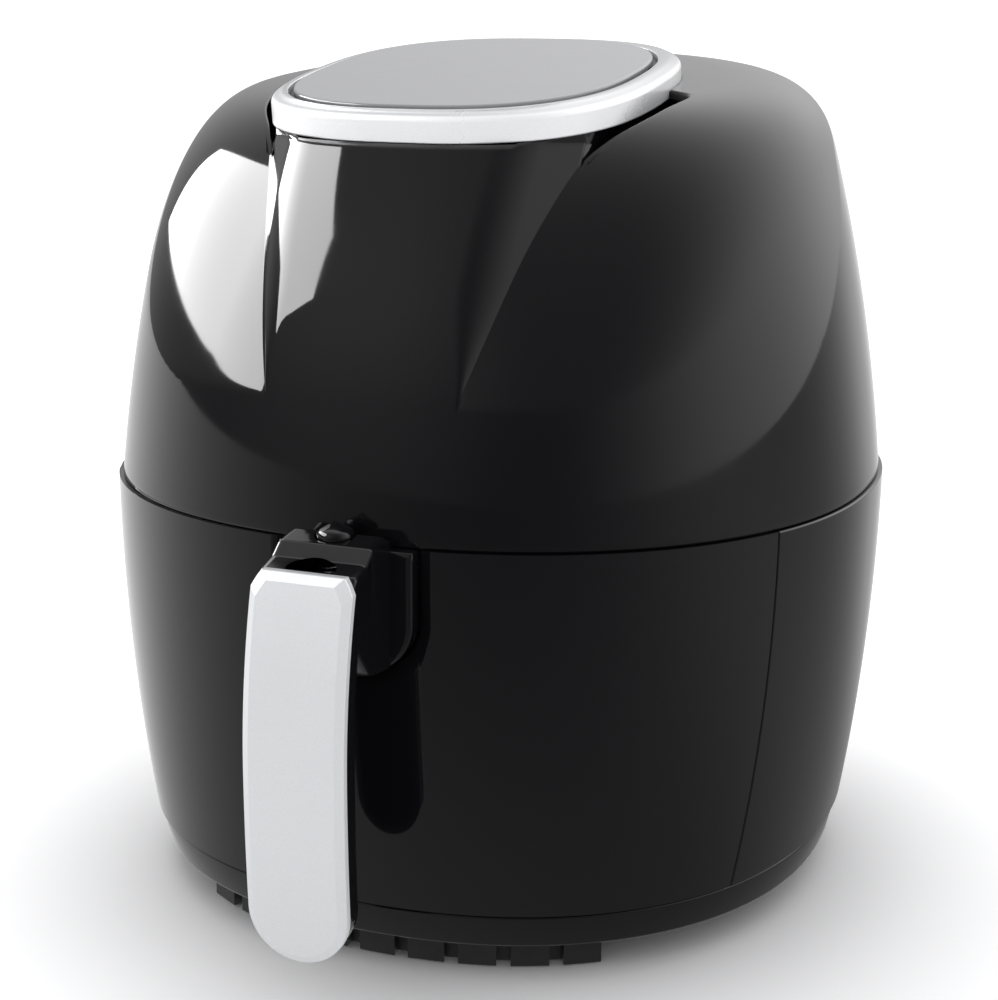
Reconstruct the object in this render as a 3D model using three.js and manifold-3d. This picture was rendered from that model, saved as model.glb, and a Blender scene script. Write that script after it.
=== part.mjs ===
// Drawer air fryer: a rounded tub split into an upper housing and a lower housing with a sliding drawer,
// a tilted control panel on a raised neck, and a vertical handle with a release button.
// Millimetres, +Z up, the front faces -Y. Everything is laid out about the body's vertical axis at x = y = 0,
// and the whole group is moved at the end so that the origin is the centre of the footprint.
import * as THREE from "three";
import { mergeVertices } from "three/addons/utils/BufferGeometryUtils.js";
import Module from "manifold-3d";

const wasm = await Module();
wasm.setup();

// ---------------------------------------------------------------- driving dimensions
const GAP = 0.3; // clearance between touching pieces
const WALL = 2.6; // moulded shells
const SHEET = 1.2; // pressed sheet metal
const SIDES = 48; // facets round the body

const BODY_EXPONENT = 2.2; // plan section: a superellipse, nearly round
const BODY_DEPTH_RATIO = 1.035; // depth of the section over its width
const SPLIT_Z = 151; // joint between the upper and lower housings
const SPLIT_RADIUS = 140; // widest place, at the top of the lower housing
const UPPER_STEP = 1.5; // the upper housing starts this much narrower
const LOWER_TAPER = 9.5; // narrowing from the split down to the base seam
const SEAM_Z = 24; // joint between the lower housing and the base skirt
const SKIRT_Z = 11.5; // underside of the base skirt
const SKIRT_RADIUS = 126.5;

const DRAWER_FACE_Y = -77; // plane that parts the drawer front from the lower housing
const DECK_Z = 291; // top deck, at the body axis
const DECK_RISE = 9; // rise of the deck's edge at the back, and fall at the front

const RING_TILT = THREE.MathUtils.degToRad(8.35); // control panel, back edge higher
const RING_CENTRE = new THREE.Vector3(0, -28.8, 283.85);
const RING = { halfWidth: 66, halfDepth: 76, exponent: 2.7 };
const RING_HEIGHT = 10.8;
const GLASS = { halfWidth: 57.6, halfDepth: 67.8, exponent: 2.6, shift: -3.5 };
const GLASS_TOP = 11.6;

const NECK_START_Z = 194; // where the neck's front leaves the body surface
const NECK_PUSH = 0.00245; // how fast the neck's front falls back above that, per mm
const NECK_TOP_Z = 273;
const NECK_EDGE_X = 33; // where the neck's front turns into its flats, at the start
const NECK_SPREAD = 0.063; // how much wider that gets, per mm of height
const NECK_FLAT_SLOPE = 1.15; // depth over width of the flats

const PAN = { halfWidth: 92, front: -120, back: 86, bottom: 33, top: 139, corner: 40 };
const BASKET = { halfWidth: 88, front: -115, back: 82, bottom: 44, top: 140.5, corner: 37 };
const LINER = { halfWidth: 100, back: 96, bottom: 27, top: 148, corner: 46 };

const CHAMBER_Z = 153; // underside of the heater chamber
const CHAMBER_TOP_Z = 188;
const CHAMBER_RADIUS = 104;
const COIL_Z = 160;
const COIL_ROD = 3.2;
const SHIELD_Z = 192.5;
const SHAFT_RADIUS = 3;

const HANDLE_BOTTOM_Z = 25;
const HANDLE_TOP_Z = 149.5;
const HANDLE_HALF_WIDTH = 17;
const HANDLE_FRONT_Y = -184;
const HANDLE_BOW = 3;
const TONGUE = { halfWidth: 23, bottom: 110, top: 150.6, corner: 17 };
const BUTTON_Y = -156;
const BUTTON_RADIUS = 6;
const ARM_FRONT_Y = -172; // front of the arm that joins the grip to the drawer

// ---------------------------------------------------------------- solids
function geometryFrom(points, faces) {
  const geometry = new THREE.BufferGeometry();
  geometry.setAttribute("position", new THREE.Float32BufferAttribute(points.flat(), 3));
  geometry.setIndex(faces.flat());
  return geometry;
}

// Joins rings of equal point counts, each listed counter-clockwise from above, from the bottom up.
// A closed profile returns to its first ring; an open one is capped at both ends.
function loft(rings, closed = false) {
  const count = rings[0].length;
  const points = rings.flat();
  const faces = [];
  const last = closed ? rings.length : rings.length - 1;
  for (let r = 0; r < last; r++) {
    const low = r * count;
    const high = ((r + 1) % rings.length) * count;
    for (let i = 0; i < count; i++) {
      const j = (i + 1) % count;
      faces.push([low + i, low + j, high + j], [low + i, high + j, high + i]);
    }
  }
  if (!closed) {
    const ends = [[rings[0], 0, false], [rings.at(-1), (rings.length - 1) * count, true]];
    for (const [ring, offset, up] of ends) {
      const centre = [0, 1, 2].map((k) => ring.reduce((sum, p) => sum + p[k], 0) / count);
      points.push(centre);
      for (let i = 0; i < count; i++) {
        const j = (i + 1) % count;
        const edge = up ? [offset + i, offset + j] : [offset + j, offset + i];
        faces.push([...edge, points.length - 1]);
      }
    }
  }
  return geometryFrom(points, faces);
}

function solid(geometry) {
  const bare = geometry.clone();
  bare.deleteAttribute("normal");
  bare.deleteAttribute("uv");
  const merged = mergeVertices(bare, 1e-3);
  return new wasm.Manifold(
    new wasm.Mesh({
      numProp: 3,
      vertProperties: new Float32Array(merged.attributes.position.array),
      triVerts: new Uint32Array(merged.index.array),
    }),
  );
}

function geometryOf(manifold) {
  const mesh = manifold.getMesh();
  const geometry = new THREE.BufferGeometry();
  geometry.setAttribute("position", new THREE.BufferAttribute(mesh.vertProperties, 3));
  geometry.setIndex(new THREE.BufferAttribute(mesh.triVerts, 1));
  return geometry;
}

function cut(base, ...tools) {
  return geometryOf(tools.reduce((body, tool) => body.subtract(solid(tool)), solid(base)));
}

function join(...pieces) {
  return geometryOf(pieces.map(solid).reduce((body, piece) => body.add(piece)));
}

function common(base, tool) {
  return geometryOf(solid(base).intersect(solid(tool)));
}

function block(x0, x1, y0, y1, z0, z1) {
  return new THREE.BoxGeometry(x1 - x0, y1 - y0, z1 - z0)
    .translate((x0 + x1) / 2, (y0 + y1) / 2, (z0 + z1) / 2);
}

function rod(radius, z0, z1, x = 0, y = 0, sides = 20) {
  return new THREE.CylinderGeometry(radius, radius, z1 - z0, sides)
    .rotateX(Math.PI / 2)
    .translate(x, y, (z0 + z1) / 2);
}

// Turns a closed profile of [radius, height] points, listed counter-clockwise, about the Z axis.
function turned(profile, sides = 20) {
  const outline = [...profile, profile[0]].map(([r, z]) => new THREE.Vector2(r, z));
  return new THREE.LatheGeometry(outline, sides).rotateX(Math.PI / 2);
}

function washer(inner, outer, z0, z1, sides = 20) {
  return turned([[inner, z0], [outer, z0], [outer, z1], [inner, z1]], sides);
}

// ---------------------------------------------------------------- sections
const signedPower = (value, power) => Math.sign(value) * Math.abs(value) ** power;
const smoothstep = (t) => THREE.MathUtils.smoothstep(t, 0, 1);

// A level superellipse; angle 0 is the front and it runs towards +X.
function superRing({ halfWidth, halfDepth, exponent, shift = 0 }, z, grow = 0, sides = SIDES) {
  return Array.from({ length: sides }, (_, i) => {
    const angle = (i / sides) * 2 * Math.PI;
    const x = (halfWidth + grow) * signedPower(Math.sin(angle), 2 / exponent);
    const y = -(halfDepth + grow) * signedPower(Math.cos(angle), 2 / exponent);
    return [x, y + shift, z];
  });
}

function roundedRing({ halfWidth, front, back, corner }, z, grow = 0, steps = 5) {
  const ring = [];
  const radius = corner + grow;
  const insetX = halfWidth - corner;
  const ahead = front + corner;
  const behind = back - corner;
  const centres = [[-insetX, ahead], [insetX, ahead], [insetX, behind], [-insetX, behind]];
  centres.forEach(([cx, cy], quarter) => {
    for (let i = 0; i <= steps; i++) {
      const angle = Math.PI + ((quarter + i / steps) * Math.PI) / 2;
      ring.push([cx + radius * Math.cos(angle), cy + radius * Math.sin(angle), z]);
    }
  });
  return ring;
}

function bodyRadius(z) {
  if (z <= SPLIT_Z) return SPLIT_RADIUS - LOWER_TAPER * ((SPLIT_Z - z) / 126) ** 2;
  const height = z - SPLIT_Z;
  return SPLIT_RADIUS - UPPER_STEP - 0.095 * height - 0.00075 * height ** 2;
}

// Distance from the axis to the body section, for a half-width of 1.
function sectionFactor(angle) {
  const across = Math.abs(Math.sin(angle)) ** BODY_EXPONENT;
  const along = (Math.abs(Math.cos(angle)) / BODY_DEPTH_RATIO) ** BODY_EXPONENT;
  return (across + along) ** (-1 / BODY_EXPONENT);
}

function polar(angle, radius, z) {
  return [radius * Math.sin(angle), -radius * Math.cos(angle), z];
}

function bodyRing(radius, z) {
  return Array.from({ length: SIDES }, (_, i) => {
    const angle = (i / SIDES) * 2 * Math.PI;
    return polar(angle, radius * sectionFactor(angle), z);
  });
}

function lowerBody(offset, z0, z1, steps = 6) {
  const rings = [];
  for (let i = 0; i <= steps; i++) {
    const z = THREE.MathUtils.lerp(z0, z1, i / steps);
    rings.push(bodyRing(bodyRadius(Math.min(z, SPLIT_Z)) - offset, z));
  }
  return rings;
}

// ---------------------------------------------------------------- upper housing shape
// The shoulder rounds over into the top deck: tightly at the sides and back,
// and in one long roll at the front.
function shoulder(angle) {
  const fromFront = Math.abs(THREE.MathUtils.euclideanModulo(angle + Math.PI, 2 * Math.PI) - Math.PI);
  const roll = smoothstep((85 - THREE.MathUtils.radToDeg(fromFront)) / 40);
  return {
    start: 265 - 71 * roll,
    top: DECK_Z - DECK_RISE * Math.cos(angle),
    reach: 34 + 18 * roll,
    power: 3 - 1.4 * roll,
  };
}

function shoulderBody(offset, bottom) {
  const straight = 4;
  const curved = 6;
  const rings = [];
  for (let row = 0; row <= straight + curved; row++) {
    rings.push(Array.from({ length: SIDES }, (_, i) => {
      const angle = (i / SIDES) * 2 * Math.PI;
      const { start, top, reach, power } = shoulder(angle);
      let z = THREE.MathUtils.lerp(bottom, start, row / straight);
      let inset = offset;
      if (row > straight) {
        const turn = (((row - straight) / curved) * Math.PI) / 2;
        z = start + (top - offset - start) * Math.sin(turn) ** (2 / power);
        inset += reach * (1 - Math.abs(Math.cos(turn)) ** (2 / power));
      }
      return polar(angle, bodyRadius(z) * sectionFactor(angle) - inset, z);
    }));
  }
  return loft(rings);
}

// Plan outline of the neck at one height: a front that follows the body, two flats swept back,
// and the sides of the ring above it.
function neckRing(z, inset) {
  const setBack = (height) => NECK_PUSH * Math.max(0, height - NECK_START_Z) ** 2;
  const frontY = (x, height) => {
    const bow = (1 - (x / bodyRadius(height)) ** BODY_EXPONENT) ** (1 / BODY_EXPONENT);
    return -bodyRadius(height) * BODY_DEPTH_RATIO * bow + setBack(height);
  };
  const height = Math.min(z, NECK_TOP_Z);
  const edgeX = NECK_EDGE_X + (height - NECK_START_Z) * NECK_SPREAD - inset * 0.5;
  const edgeY = frontY(edgeX, height) + inset;
  const lean = frontY(0, height) - frontY(0, NECK_TOP_Z);
  const ringY = RING_CENTRE.y + lean;
  const half = [0, 0.5, 1].map((t) => [edgeX * t, frontY(edgeX * t, height) + inset]);
  for (let i = 1; i <= 9; i++) {
    const turn = (0.2 + 0.8 * (i / 9)) * Math.PI;
    const depth = RING.halfDepth - 1.2 - inset;
    const y = Math.max(ringY - depth * signedPower(Math.cos(turn), 2 / RING.exponent), edgeY + i);
    const along = Math.min(1, Math.abs(y - ringY) / depth);
    const sideX = (RING.halfWidth - 1.2 - inset) * (1 - along ** RING.exponent) ** (1 / RING.exponent);
    half.push([Math.min(sideX, edgeX + (y - edgeY) / NECK_FLAT_SLOPE), y]);
  }
  const right = half.map(([x, y]) => [x, y, z]);
  const left = half.slice(1, -1).reverse().map(([x, y]) => [-x, y, z]);
  return [...right, ...left];
}

function neckBody(inset, bottom, top) {
  const rings = [];
  for (let i = 0; i <= 7; i++) {
    rings.push(neckRing(THREE.MathUtils.lerp(bottom, NECK_TOP_Z, i / 7), inset));
  }
  rings.push(neckRing(top, inset));
  return loft(rings);
}

// Moves a geometry from the control panel's own plane (z = 0 at the ring's underside) into place.
function onPanel(geometry) {
  return geometry.rotateX(RING_TILT).translate(...RING_CENTRE);
}

// Crescent opening beside the neck, where air is drawn in between the shoulder's rim and the neck.
function intakeSlot(side, z0, z1, shrink = 0) {
  const outline = new THREE.Shape();
  outline.moveTo(side * (57.5 - shrink), -88 + shrink);
  outline.quadraticCurveTo(side * (68 - shrink), -66, side * (77.5 - shrink), -38);
  outline.lineTo(side * (78.5 - shrink), -30 - shrink);
  outline.lineTo(side * (60 + shrink), -30 - shrink);
  outline.lineTo(side * (55 + shrink), -80);
  return new THREE.ExtrudeGeometry(outline, { depth: z1 - z0, bevelEnabled: false, curveSegments: 6 })
    .translate(0, 0, z0);
}

// ---------------------------------------------------------------- materials
function material(color, roughness, metalness = 0) {
  return new THREE.MeshStandardMaterial({ color, roughness, metalness });
}
const glossBlack = material(0x0b0b0d, 0.12);
const mattBlack = material(0x17171a, 0.6);
const satinSilver = material(0xc9cacc, 0.35, 0.6);
const panelGlass = material(0x9a9da1, 0.05);
const pressedSteel = material(0xb4b6b8, 0.35, 1);
const nonStick = material(0x2a2a2c, 0.45, 0.3);
const springSteel = material(0x9a9da0, 0.3, 1);
const copper = material(0xb06a35, 0.4, 1);
const aluminium = material(0xc4c6c8, 0.4, 1);
const boardGreen = material(0x1e5a35, 0.5);
const rubber = material(0x1b1b1b, 0.85);
const whitePlastic = material(0xe3e3df, 0.5);

const group = new THREE.Group();

function add(name, geometry, finish) {
  const mesh = new THREE.Mesh(geometry, finish);
  mesh.name = name;
  group.add(mesh);
  return mesh;
}

// ---------------------------------------------------------------- outer shells
function upperHousing() {
  const bottom = SPLIT_Z + GAP + 0.2;
  const abovePanel = onPanel(block(-110, 110, -110, 110, 0, 80));
  const well = onPanel(loft([superRing(RING, -GAP, 0.8), superRing(RING, 60, 0.8)]));
  const neck = solid(neckBody(0, 188, 315)).subtract(solid(abovePanel));
  let shell = solid(shoulderBody(0, bottom)).subtract(solid(well));
  for (const side of [-1, 1]) shell = shell.subtract(solid(intakeSlot(side, 240, 320)));
  shell = shell.add(neck);
  shell = shell.subtract(solid(shoulderBody(WALL, bottom - 1)));
  shell = shell.subtract(solid(neckBody(WALL, 180, 330)));
  shell = shell.subtract(solid(block(-40, 40, 100, 160, 156, 189)));
  add("upper_housing", geometryOf(shell), glossBlack);
}

function lowerShell() {
  const bottom = SEAM_Z + GAP;
  const top = SPLIT_Z - GAP;
  return loft([...lowerBody(0, bottom, top), ...lowerBody(WALL, bottom, top).reverse()], true);
}

function lowerHousing() {
  const front = block(-200, 200, -300, DRAWER_FACE_Y + GAP / 2, 0, 200);
  const cordHole = rod(8, -20, 20).rotateX(Math.PI / 2).translate(0, 139, 60);
  add("lower_housing", cut(lowerShell(), front, cordHole), glossBlack);

  const frame = loft(lowerBody(WALL + GAP, SEAM_Z + 1, SPLIT_Z - 1));
  const slab = block(-200, 200, DRAWER_FACE_Y + 0.4, DRAWER_FACE_Y + 2.6, 0, 200);
  const opening = block(-LINER.halfWidth - GAP, LINER.halfWidth + GAP, -200, 0, LINER.bottom - GAP, 300);
  add("front_frame", cut(common(frame, slab), opening), mattBlack);
}

function drawerFront() {
  const bottom = SEAM_Z + GAP;
  const top = SPLIT_Z - GAP;
  const ahead = block(-200, 200, -300, DRAWER_FACE_Y - GAP / 2, 0, 200);
  const hollow = loft(lowerBody(WALL, bottom + WALL, top - WALL));
  const panSpace = loft([roundedRing(PAN, 120, 6), roundedRing(PAN, 200, 6)]);
  const notch = tongueBlock(-200, -118, 0.4);
  const face = common(loft(lowerBody(0, bottom, top)), ahead);
  add("drawer_front", cut(face, hollow, panSpace, notch), glossBlack);

  const slab = block(-200, 200, DRAWER_FACE_Y - 2.6, DRAWER_FACE_Y - 0.4, 0, 200);
  const passage = block(-98, 98, -200, 0, PAN.bottom - 3, 300);
  const inside = loft(lowerBody(WALL + GAP, bottom + WALL + GAP, top - WALL - GAP));
  add("drawer_back_panel", cut(common(inside, slab), passage), mattBlack);
}

function base() {
  const skirt = [
    bodyRing(SKIRT_RADIUS - 3, SKIRT_Z),
    bodyRing(SKIRT_RADIUS, SKIRT_Z),
    bodyRing(bodyRadius(SEAM_Z) - 0.8, SEAM_Z - GAP),
    bodyRing(bodyRadius(SEAM_Z) - 3.8, SEAM_Z - GAP),
  ];
  add("base_skirt", loft(skirt, true), glossBlack);
  const plate = SKIRT_RADIUS - 3 - GAP;
  add("base_plate", loft([bodyRing(plate, SKIRT_Z + 0.5), bodyRing(plate, SKIRT_Z + 3)]), mattBlack);
  for (const [name, facing] of [["foot_grille_front", 0], ["foot_grille_back", Math.PI]]) {
    add(name, footGrille(facing), mattBlack);
  }
  let index = 1;
  for (const x of [-70, 70]) {
    for (const y of [-70, 70]) {
      const foot = turned([[0, 0], [10, 0], [11.5, 1.5], [11.5, SKIRT_Z], [0, SKIRT_Z]], 20);
      add(`rubber_foot_${index}`, foot.translate(x, y, 0), rubber);
      const screw = turned([[0, SKIRT_Z - 2], [3.5, SKIRT_Z - 2], [4, SKIRT_Z], [0, SKIRT_Z]], 12);
      add(`base_screw_${index}`, screw.translate(x * 0.5, y * 1.1, 0), springSteel);
      index += 1;
    }
  }
}

// Curved stand under the skirt, notched like a comb to let air through.
function footGrille(facing) {
  const halfSpan = 37;
  const pitch = 8.2;
  const slot = 2.2;
  const outer = 119.5;
  const outline = [];
  const point = (radius, degrees) => {
    const angle = THREE.MathUtils.degToRad(degrees);
    const [x, y] = polar(angle, radius * sectionFactor(angle), 0);
    outline.push(new THREE.Vector2(x, y));
  };
  for (let tooth = -4; tooth <= 4; tooth++) {
    const start = Math.max(-halfSpan, tooth * pitch - (pitch - slot) / 2);
    const end = Math.min(halfSpan, tooth * pitch + (pitch - slot) / 2);
    point(outer - 4, start);
    point(outer, start);
    point(outer, end);
    point(outer - 4, end);
  }
  for (let step = 8; step >= 0; step--) point(outer - 7, -halfSpan + (halfSpan * 2 * step) / 8);
  const depth = SKIRT_Z - GAP - 0.8;
  return new THREE.ExtrudeGeometry(new THREE.Shape(outline), { depth, bevelEnabled: false })
    .translate(0, 0, 0.8)
    .rotateZ(facing);
}

// ---------------------------------------------------------------- control panel
function controlPanel() {
  const lip = { ...GLASS, halfWidth: GLASS.halfWidth + 1.8, halfDepth: GLASS.halfDepth + 1.8 };
  const top = { ...RING, halfWidth: RING.halfWidth - 2.2, halfDepth: RING.halfDepth - 2.2, shift: -0.4 };
  const bezel = [
    superRing(lip, GAP), superRing(RING, GAP), superRing(RING, RING_HEIGHT - 2.6),
    superRing(top, RING_HEIGHT), superRing(lip, RING_HEIGHT),
  ];
  add("bezel_ring", onPanel(loft(bezel, true)), satinSilver);

  const seat = [
    superRing(lip, 6, -7), superRing(lip, 6, -GAP), superRing(lip, 9, -GAP), superRing(lip, 9, -7),
  ];
  add("glass_seat", onPanel(loft(seat, true)), mattBlack);
  const glass = [superRing(GLASS, 9.3), superRing(GLASS, GLASS_TOP - 0.5), superRing(GLASS, GLASS_TOP, -0.6)];
  add("touch_glass", onPanel(loft(glass)), panelGlass);

  add("board_tray", onPanel(loft([superRing(lip, 0.5, -2), superRing(lip, 2.5, -2)])), mattBlack);
  add("control_board", onPanel(block(-42, 42, -52, 44, 2.8, 4.4)), boardGreen);
  add("display_module", onPanel(block(-24, 24, -20, 8, 4.7, 8.6)), whitePlastic);
}

// ---------------------------------------------------------------- heater and fans
function heater() {
  const inner = CHAMBER_RADIUS;
  const outer = inner + SHEET;
  const dish = turned([
    [inner, CHAMBER_Z], [inner + 9, CHAMBER_Z], [inner + 9, CHAMBER_Z + SHEET], [outer, CHAMBER_Z + SHEET],
    [outer, CHAMBER_TOP_Z], [SHAFT_RADIUS + 5, CHAMBER_TOP_Z + 2], [SHAFT_RADIUS + 5, CHAMBER_TOP_Z + 0.8],
    [inner, CHAMBER_TOP_Z - SHEET],
  ], 32);
  const terminals = [-1, 1].map((side) => rod(COIL_ROD + 1.5, 150, 260, side * 14, -88, 10));
  const outlet = block(-34, 34, 80, 130, 160, 182);
  add("heat_reflector", cut(dish, outlet, ...terminals), pressedSteel);

  const plate = bodyRadius(SHIELD_Z) - WALL - 1;
  const shield = loft([bodyRing(plate, SHIELD_Z), bodyRing(plate, SHIELD_Z + SHEET)]);
  add("heat_shield", cut(shield, rod(14, 180, 210), ...terminals), pressedSteel);

  add("heater_coil", heaterCoil(), nonStick);
  for (let i = 0; i < 3; i++) {
    const angle = THREE.MathUtils.degToRad(30 + 120 * i);
    const hanger = block(-3, 3, 58, 92, COIL_Z + COIL_ROD + GAP, CHAMBER_TOP_Z - SHEET - 1);
    add(`coil_hanger_${i + 1}`, hanger.rotateZ(angle), pressedSteel);
  }
  const wires = [washer(96, 99, CHAMBER_Z, CHAMBER_Z + 2, 24), washer(50, 53, CHAMBER_Z, CHAMBER_Z + 2, 16)];
  for (let i = 0; i < 3; i++) {
    wires.push(block(-1.2, 1.2, -97.5, 97.5, CHAMBER_Z, CHAMBER_Z + 2).rotateZ((i * Math.PI) / 3));
  }
  add("heater_guard", join(...wires), springSteel);
  add("temperature_sensor", rod(2.5, 168, CHAMBER_TOP_Z - SHEET - 0.8, 78, -30, 12), springSteel);
  const cutout = turned([[0, 0], [9, 0], [9, 4], [6, 8], [0, 8]], 16);
  add("thermal_cutout", cutout.translate(45, -60, SHIELD_Z + SHEET + GAP), whitePlastic);
}

// Flat spiral of sheathed rod whose two ends rise through the reflector.
class CoilPath extends THREE.Curve {
  getPoint(t, target = new THREE.Vector3()) {
    const rise = 0.1;
    const along = THREE.MathUtils.clamp((t - rise) / (1 - 2 * rise), 0, 1);
    const start = Math.atan2(-88, 14);
    const turn = along * (4 * Math.PI - 2 * Math.abs(Math.PI / 2 + start));
    const radius = Math.hypot(14, 88) - 14 * Math.sin(along * Math.PI);
    const lift = Math.max(0, rise - t, t - 1 + rise) / rise;
    const angle = start + turn;
    return target.set(radius * Math.cos(angle), radius * Math.sin(angle), COIL_Z + 38 * lift);
  }
}

function heaterCoil() {
  const section = new THREE.Shape();
  section.absarc(0, 0, COIL_ROD, 0, 2 * Math.PI);
  return new THREE.ExtrudeGeometry(section, { steps: 48, curveSegments: 4, extrudePath: new CoilPath() });
}

function bladedWheel(radius, count, z0, z1, discZ, thickness) {
  const bore = SHAFT_RADIUS + GAP;
  const parts = [washer(bore, 9, z0, z1, 12), washer(bore, radius, discZ, discZ + thickness, 24)];
  for (let i = 0; i < count; i++) {
    const blade = block(8, radius - 1, -0.8, 0.8, z0, z1);
    parts.push(blade.rotateZ((i / count) * 2 * Math.PI));
  }
  return join(...parts);
}

function fansAndMotor() {
  add("hot_air_fan", bladedWheel(52, 10, 166, 177, 177.5 - 1.2, 1.2), aluminium);
  add("fan_nut", cut(rod(6, 160.5, 165.5, 0, 0, 6), rod(SHAFT_RADIUS + GAP, 150, 170)), springSteel);
  add("fan_shaft", rod(SHAFT_RADIUS, 158, 250, 0, 0, 16), springSteel);
  add("rotor_core", washer(SHAFT_RADIUS + GAP, 15, 205, 219, 24), pressedSteel);
  add("cooling_fan", bladedWheel(42, 7, 234, 246, 234, 1.6), whitePlastic);

  const stack = block(-32, 32, -28, 38, 204, 220);
  const windingSpace = block(-20, 20, 17, 28, 190, 230);
  add("motor_stator", cut(stack, rod(15.6, 190, 230, 0, 0, 24), windingSpace), pressedSteel);
  const winding = block(-17, 17, 18, 48, 196.5, 227.5);
  add("motor_winding", cut(winding, block(-30, 30, 27.7, 38.3, 203.7, 220.3)), copper);

  const bore = rod(SHAFT_RADIUS + 2.5, 190, 240, 0, 0, 16);
  const legs = [-29, 25].map((x) => block(x, x + 4, -8, 8, SHIELD_Z + SHEET + GAP, 201));
  add("motor_bracket", cut(join(block(-29, 29, -8, 8, 200, 203.7), ...legs), bore), aluminium);
  add("motor_bridge", cut(join(block(-29, 29, -8, 8, 220.3, 224), rod(9, 223, 229)), bore), aluminium);
  for (const [name, z] of [["lower_bearing", 199], ["upper_bearing", 223.5]]) {
    add(name, washer(SHAFT_RADIUS + GAP, SHAFT_RADIUS + 2.2, z, z + 4.5, 16), copper);
  }
}

function powerElectronics() {
  add("power_board", block(-78, -76.4, -42, 42, SHIELD_Z + SHEET + GAP, 246), boardGreen);
  add("power_transformer", block(-76, -52, 2, 30, 200, 226), copper);
}

function exhaust() {
  const duct = cut(block(-36, 36, 107, 131, 158, 186), block(-34.8, 34.8, 100, 140, 159.2, 184.8));
  add("exhaust_duct", duct, pressedSteel);
  const slots = [];
  for (let i = 0; i < 5; i++) slots.push(block(-35, 35, 120, 150, 160 + i * 5.4, 163 + i * 5.4));
  add("exhaust_grille", cut(block(-39.5, 39.5, 132, 135.5, 156.5, 188.5), ...slots), mattBlack);
  const bushing = turned([[4, -8], [7.6, -8], [7.6, 3.4], [11, 3.4], [10, 7], [4, 7]], 20);
  add("cord_bushing", bushing.rotateX(-Math.PI / 2).translate(0, 137.9, 60), mattBlack);
}

// ---------------------------------------------------------------- cavity, pan and basket
function cavity() {
  const outline = { ...LINER, front: -150 };
  const tub = loft([roundedRing(outline, LINER.bottom), roundedRing(outline, LINER.top)]);
  const floor = LINER.bottom + SHEET;
  const inside = loft([roundedRing(outline, floor, -SHEET), roundedRing(outline, 200, -SHEET)]);
  add("cavity_liner", cut(tub, inside, block(-200, 200, -200, DRAWER_FACE_Y + 0.6, 0, 200)), pressedSteel);
  for (const [name, side] of [["slide_rail_left", -1], ["slide_rail_right", 1]]) {
    const bar = block(-2.4, 2.4, -74, 44, PAN.top - 6, PAN.top - 0.6);
    add(name, bar.translate(side * 96.1, 0, 0), whitePlastic);
  }
  add("drawer_switch", block(-10, 10, LINER.back + GAP, LINER.back + 12, 110, 124), whitePlastic);
}

function vessel(shape, taper, rimGrow) {
  const rings = [
    roundedRing(shape, shape.bottom, -taper),
    roundedRing(shape, shape.top, 0),
    roundedRing(shape, shape.top, rimGrow),
    roundedRing(shape, shape.top + SHEET, rimGrow),
    roundedRing(shape, shape.top + SHEET, -SHEET),
    roundedRing(shape, shape.bottom + SHEET, -taper - SHEET),
  ];
  return loft(rings);
}

function pan() {
  add("pan", vessel(PAN, 8, 5), nonStick);
}

function basket() {
  const holes = [];
  for (let x = -60; x <= 60; x += 30) {
    for (let y = -76; y <= 44; y += 30) holes.push(block(x - 10, x + 10, y - 10, y + 10, 40, 50));
  }
  add("basket", cut(vessel(BASKET, 9, 5.5), ...holes), nonStick);
}

// ---------------------------------------------------------------- handle
function tongueBlock(y0, y1, grow = 0) {
  const { halfWidth, bottom, top, corner } = TONGUE;
  const wide = halfWidth + grow;
  const radius = corner + grow;
  const outline = new THREE.Shape();
  outline.moveTo(-wide, grow ? 200 : top);
  outline.lineTo(-wide, bottom + corner);
  outline.absarc(-halfWidth + corner, bottom + corner, radius, Math.PI, 1.5 * Math.PI, false);
  outline.absarc(halfWidth - corner, bottom + corner, radius, 1.5 * Math.PI, 2 * Math.PI, false);
  outline.lineTo(wide, grow ? 200 : top);
  return new THREE.ExtrudeGeometry(outline, { depth: y1 - y0, bevelEnabled: false, curveSegments: 6 })
    .rotateX(Math.PI / 2)
    .translate(0, y1, 0);
}

// The outward bow of the grip at one height.
function gripBow(z) {
  const middle = (HANDLE_BOTTOM_Z + HANDLE_TOP_Z) / 2;
  return HANDLE_BOW * (1 - ((z - middle) / (HANDLE_TOP_Z - middle)) ** 2);
}

// Level sections of the grip, from its rounded foot to its clipped top corners.
function gripRows(halfWidth, top) {
  const rows = [];
  for (let i = 1; i <= 6; i++) {
    const turn = (i / 6) * (Math.PI / 2);
    rows.push([HANDLE_BOTTOM_Z + halfWidth * (1 - Math.cos(turn)), halfWidth * Math.sin(turn)]);
  }
  for (let i = 1; i <= 5; i++) {
    rows.push([THREE.MathUtils.lerp(HANDLE_BOTTOM_Z + halfWidth, top - 4, i / 5), halfWidth]);
  }
  rows.push([top, halfWidth - 4]);
  return rows;
}

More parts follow.
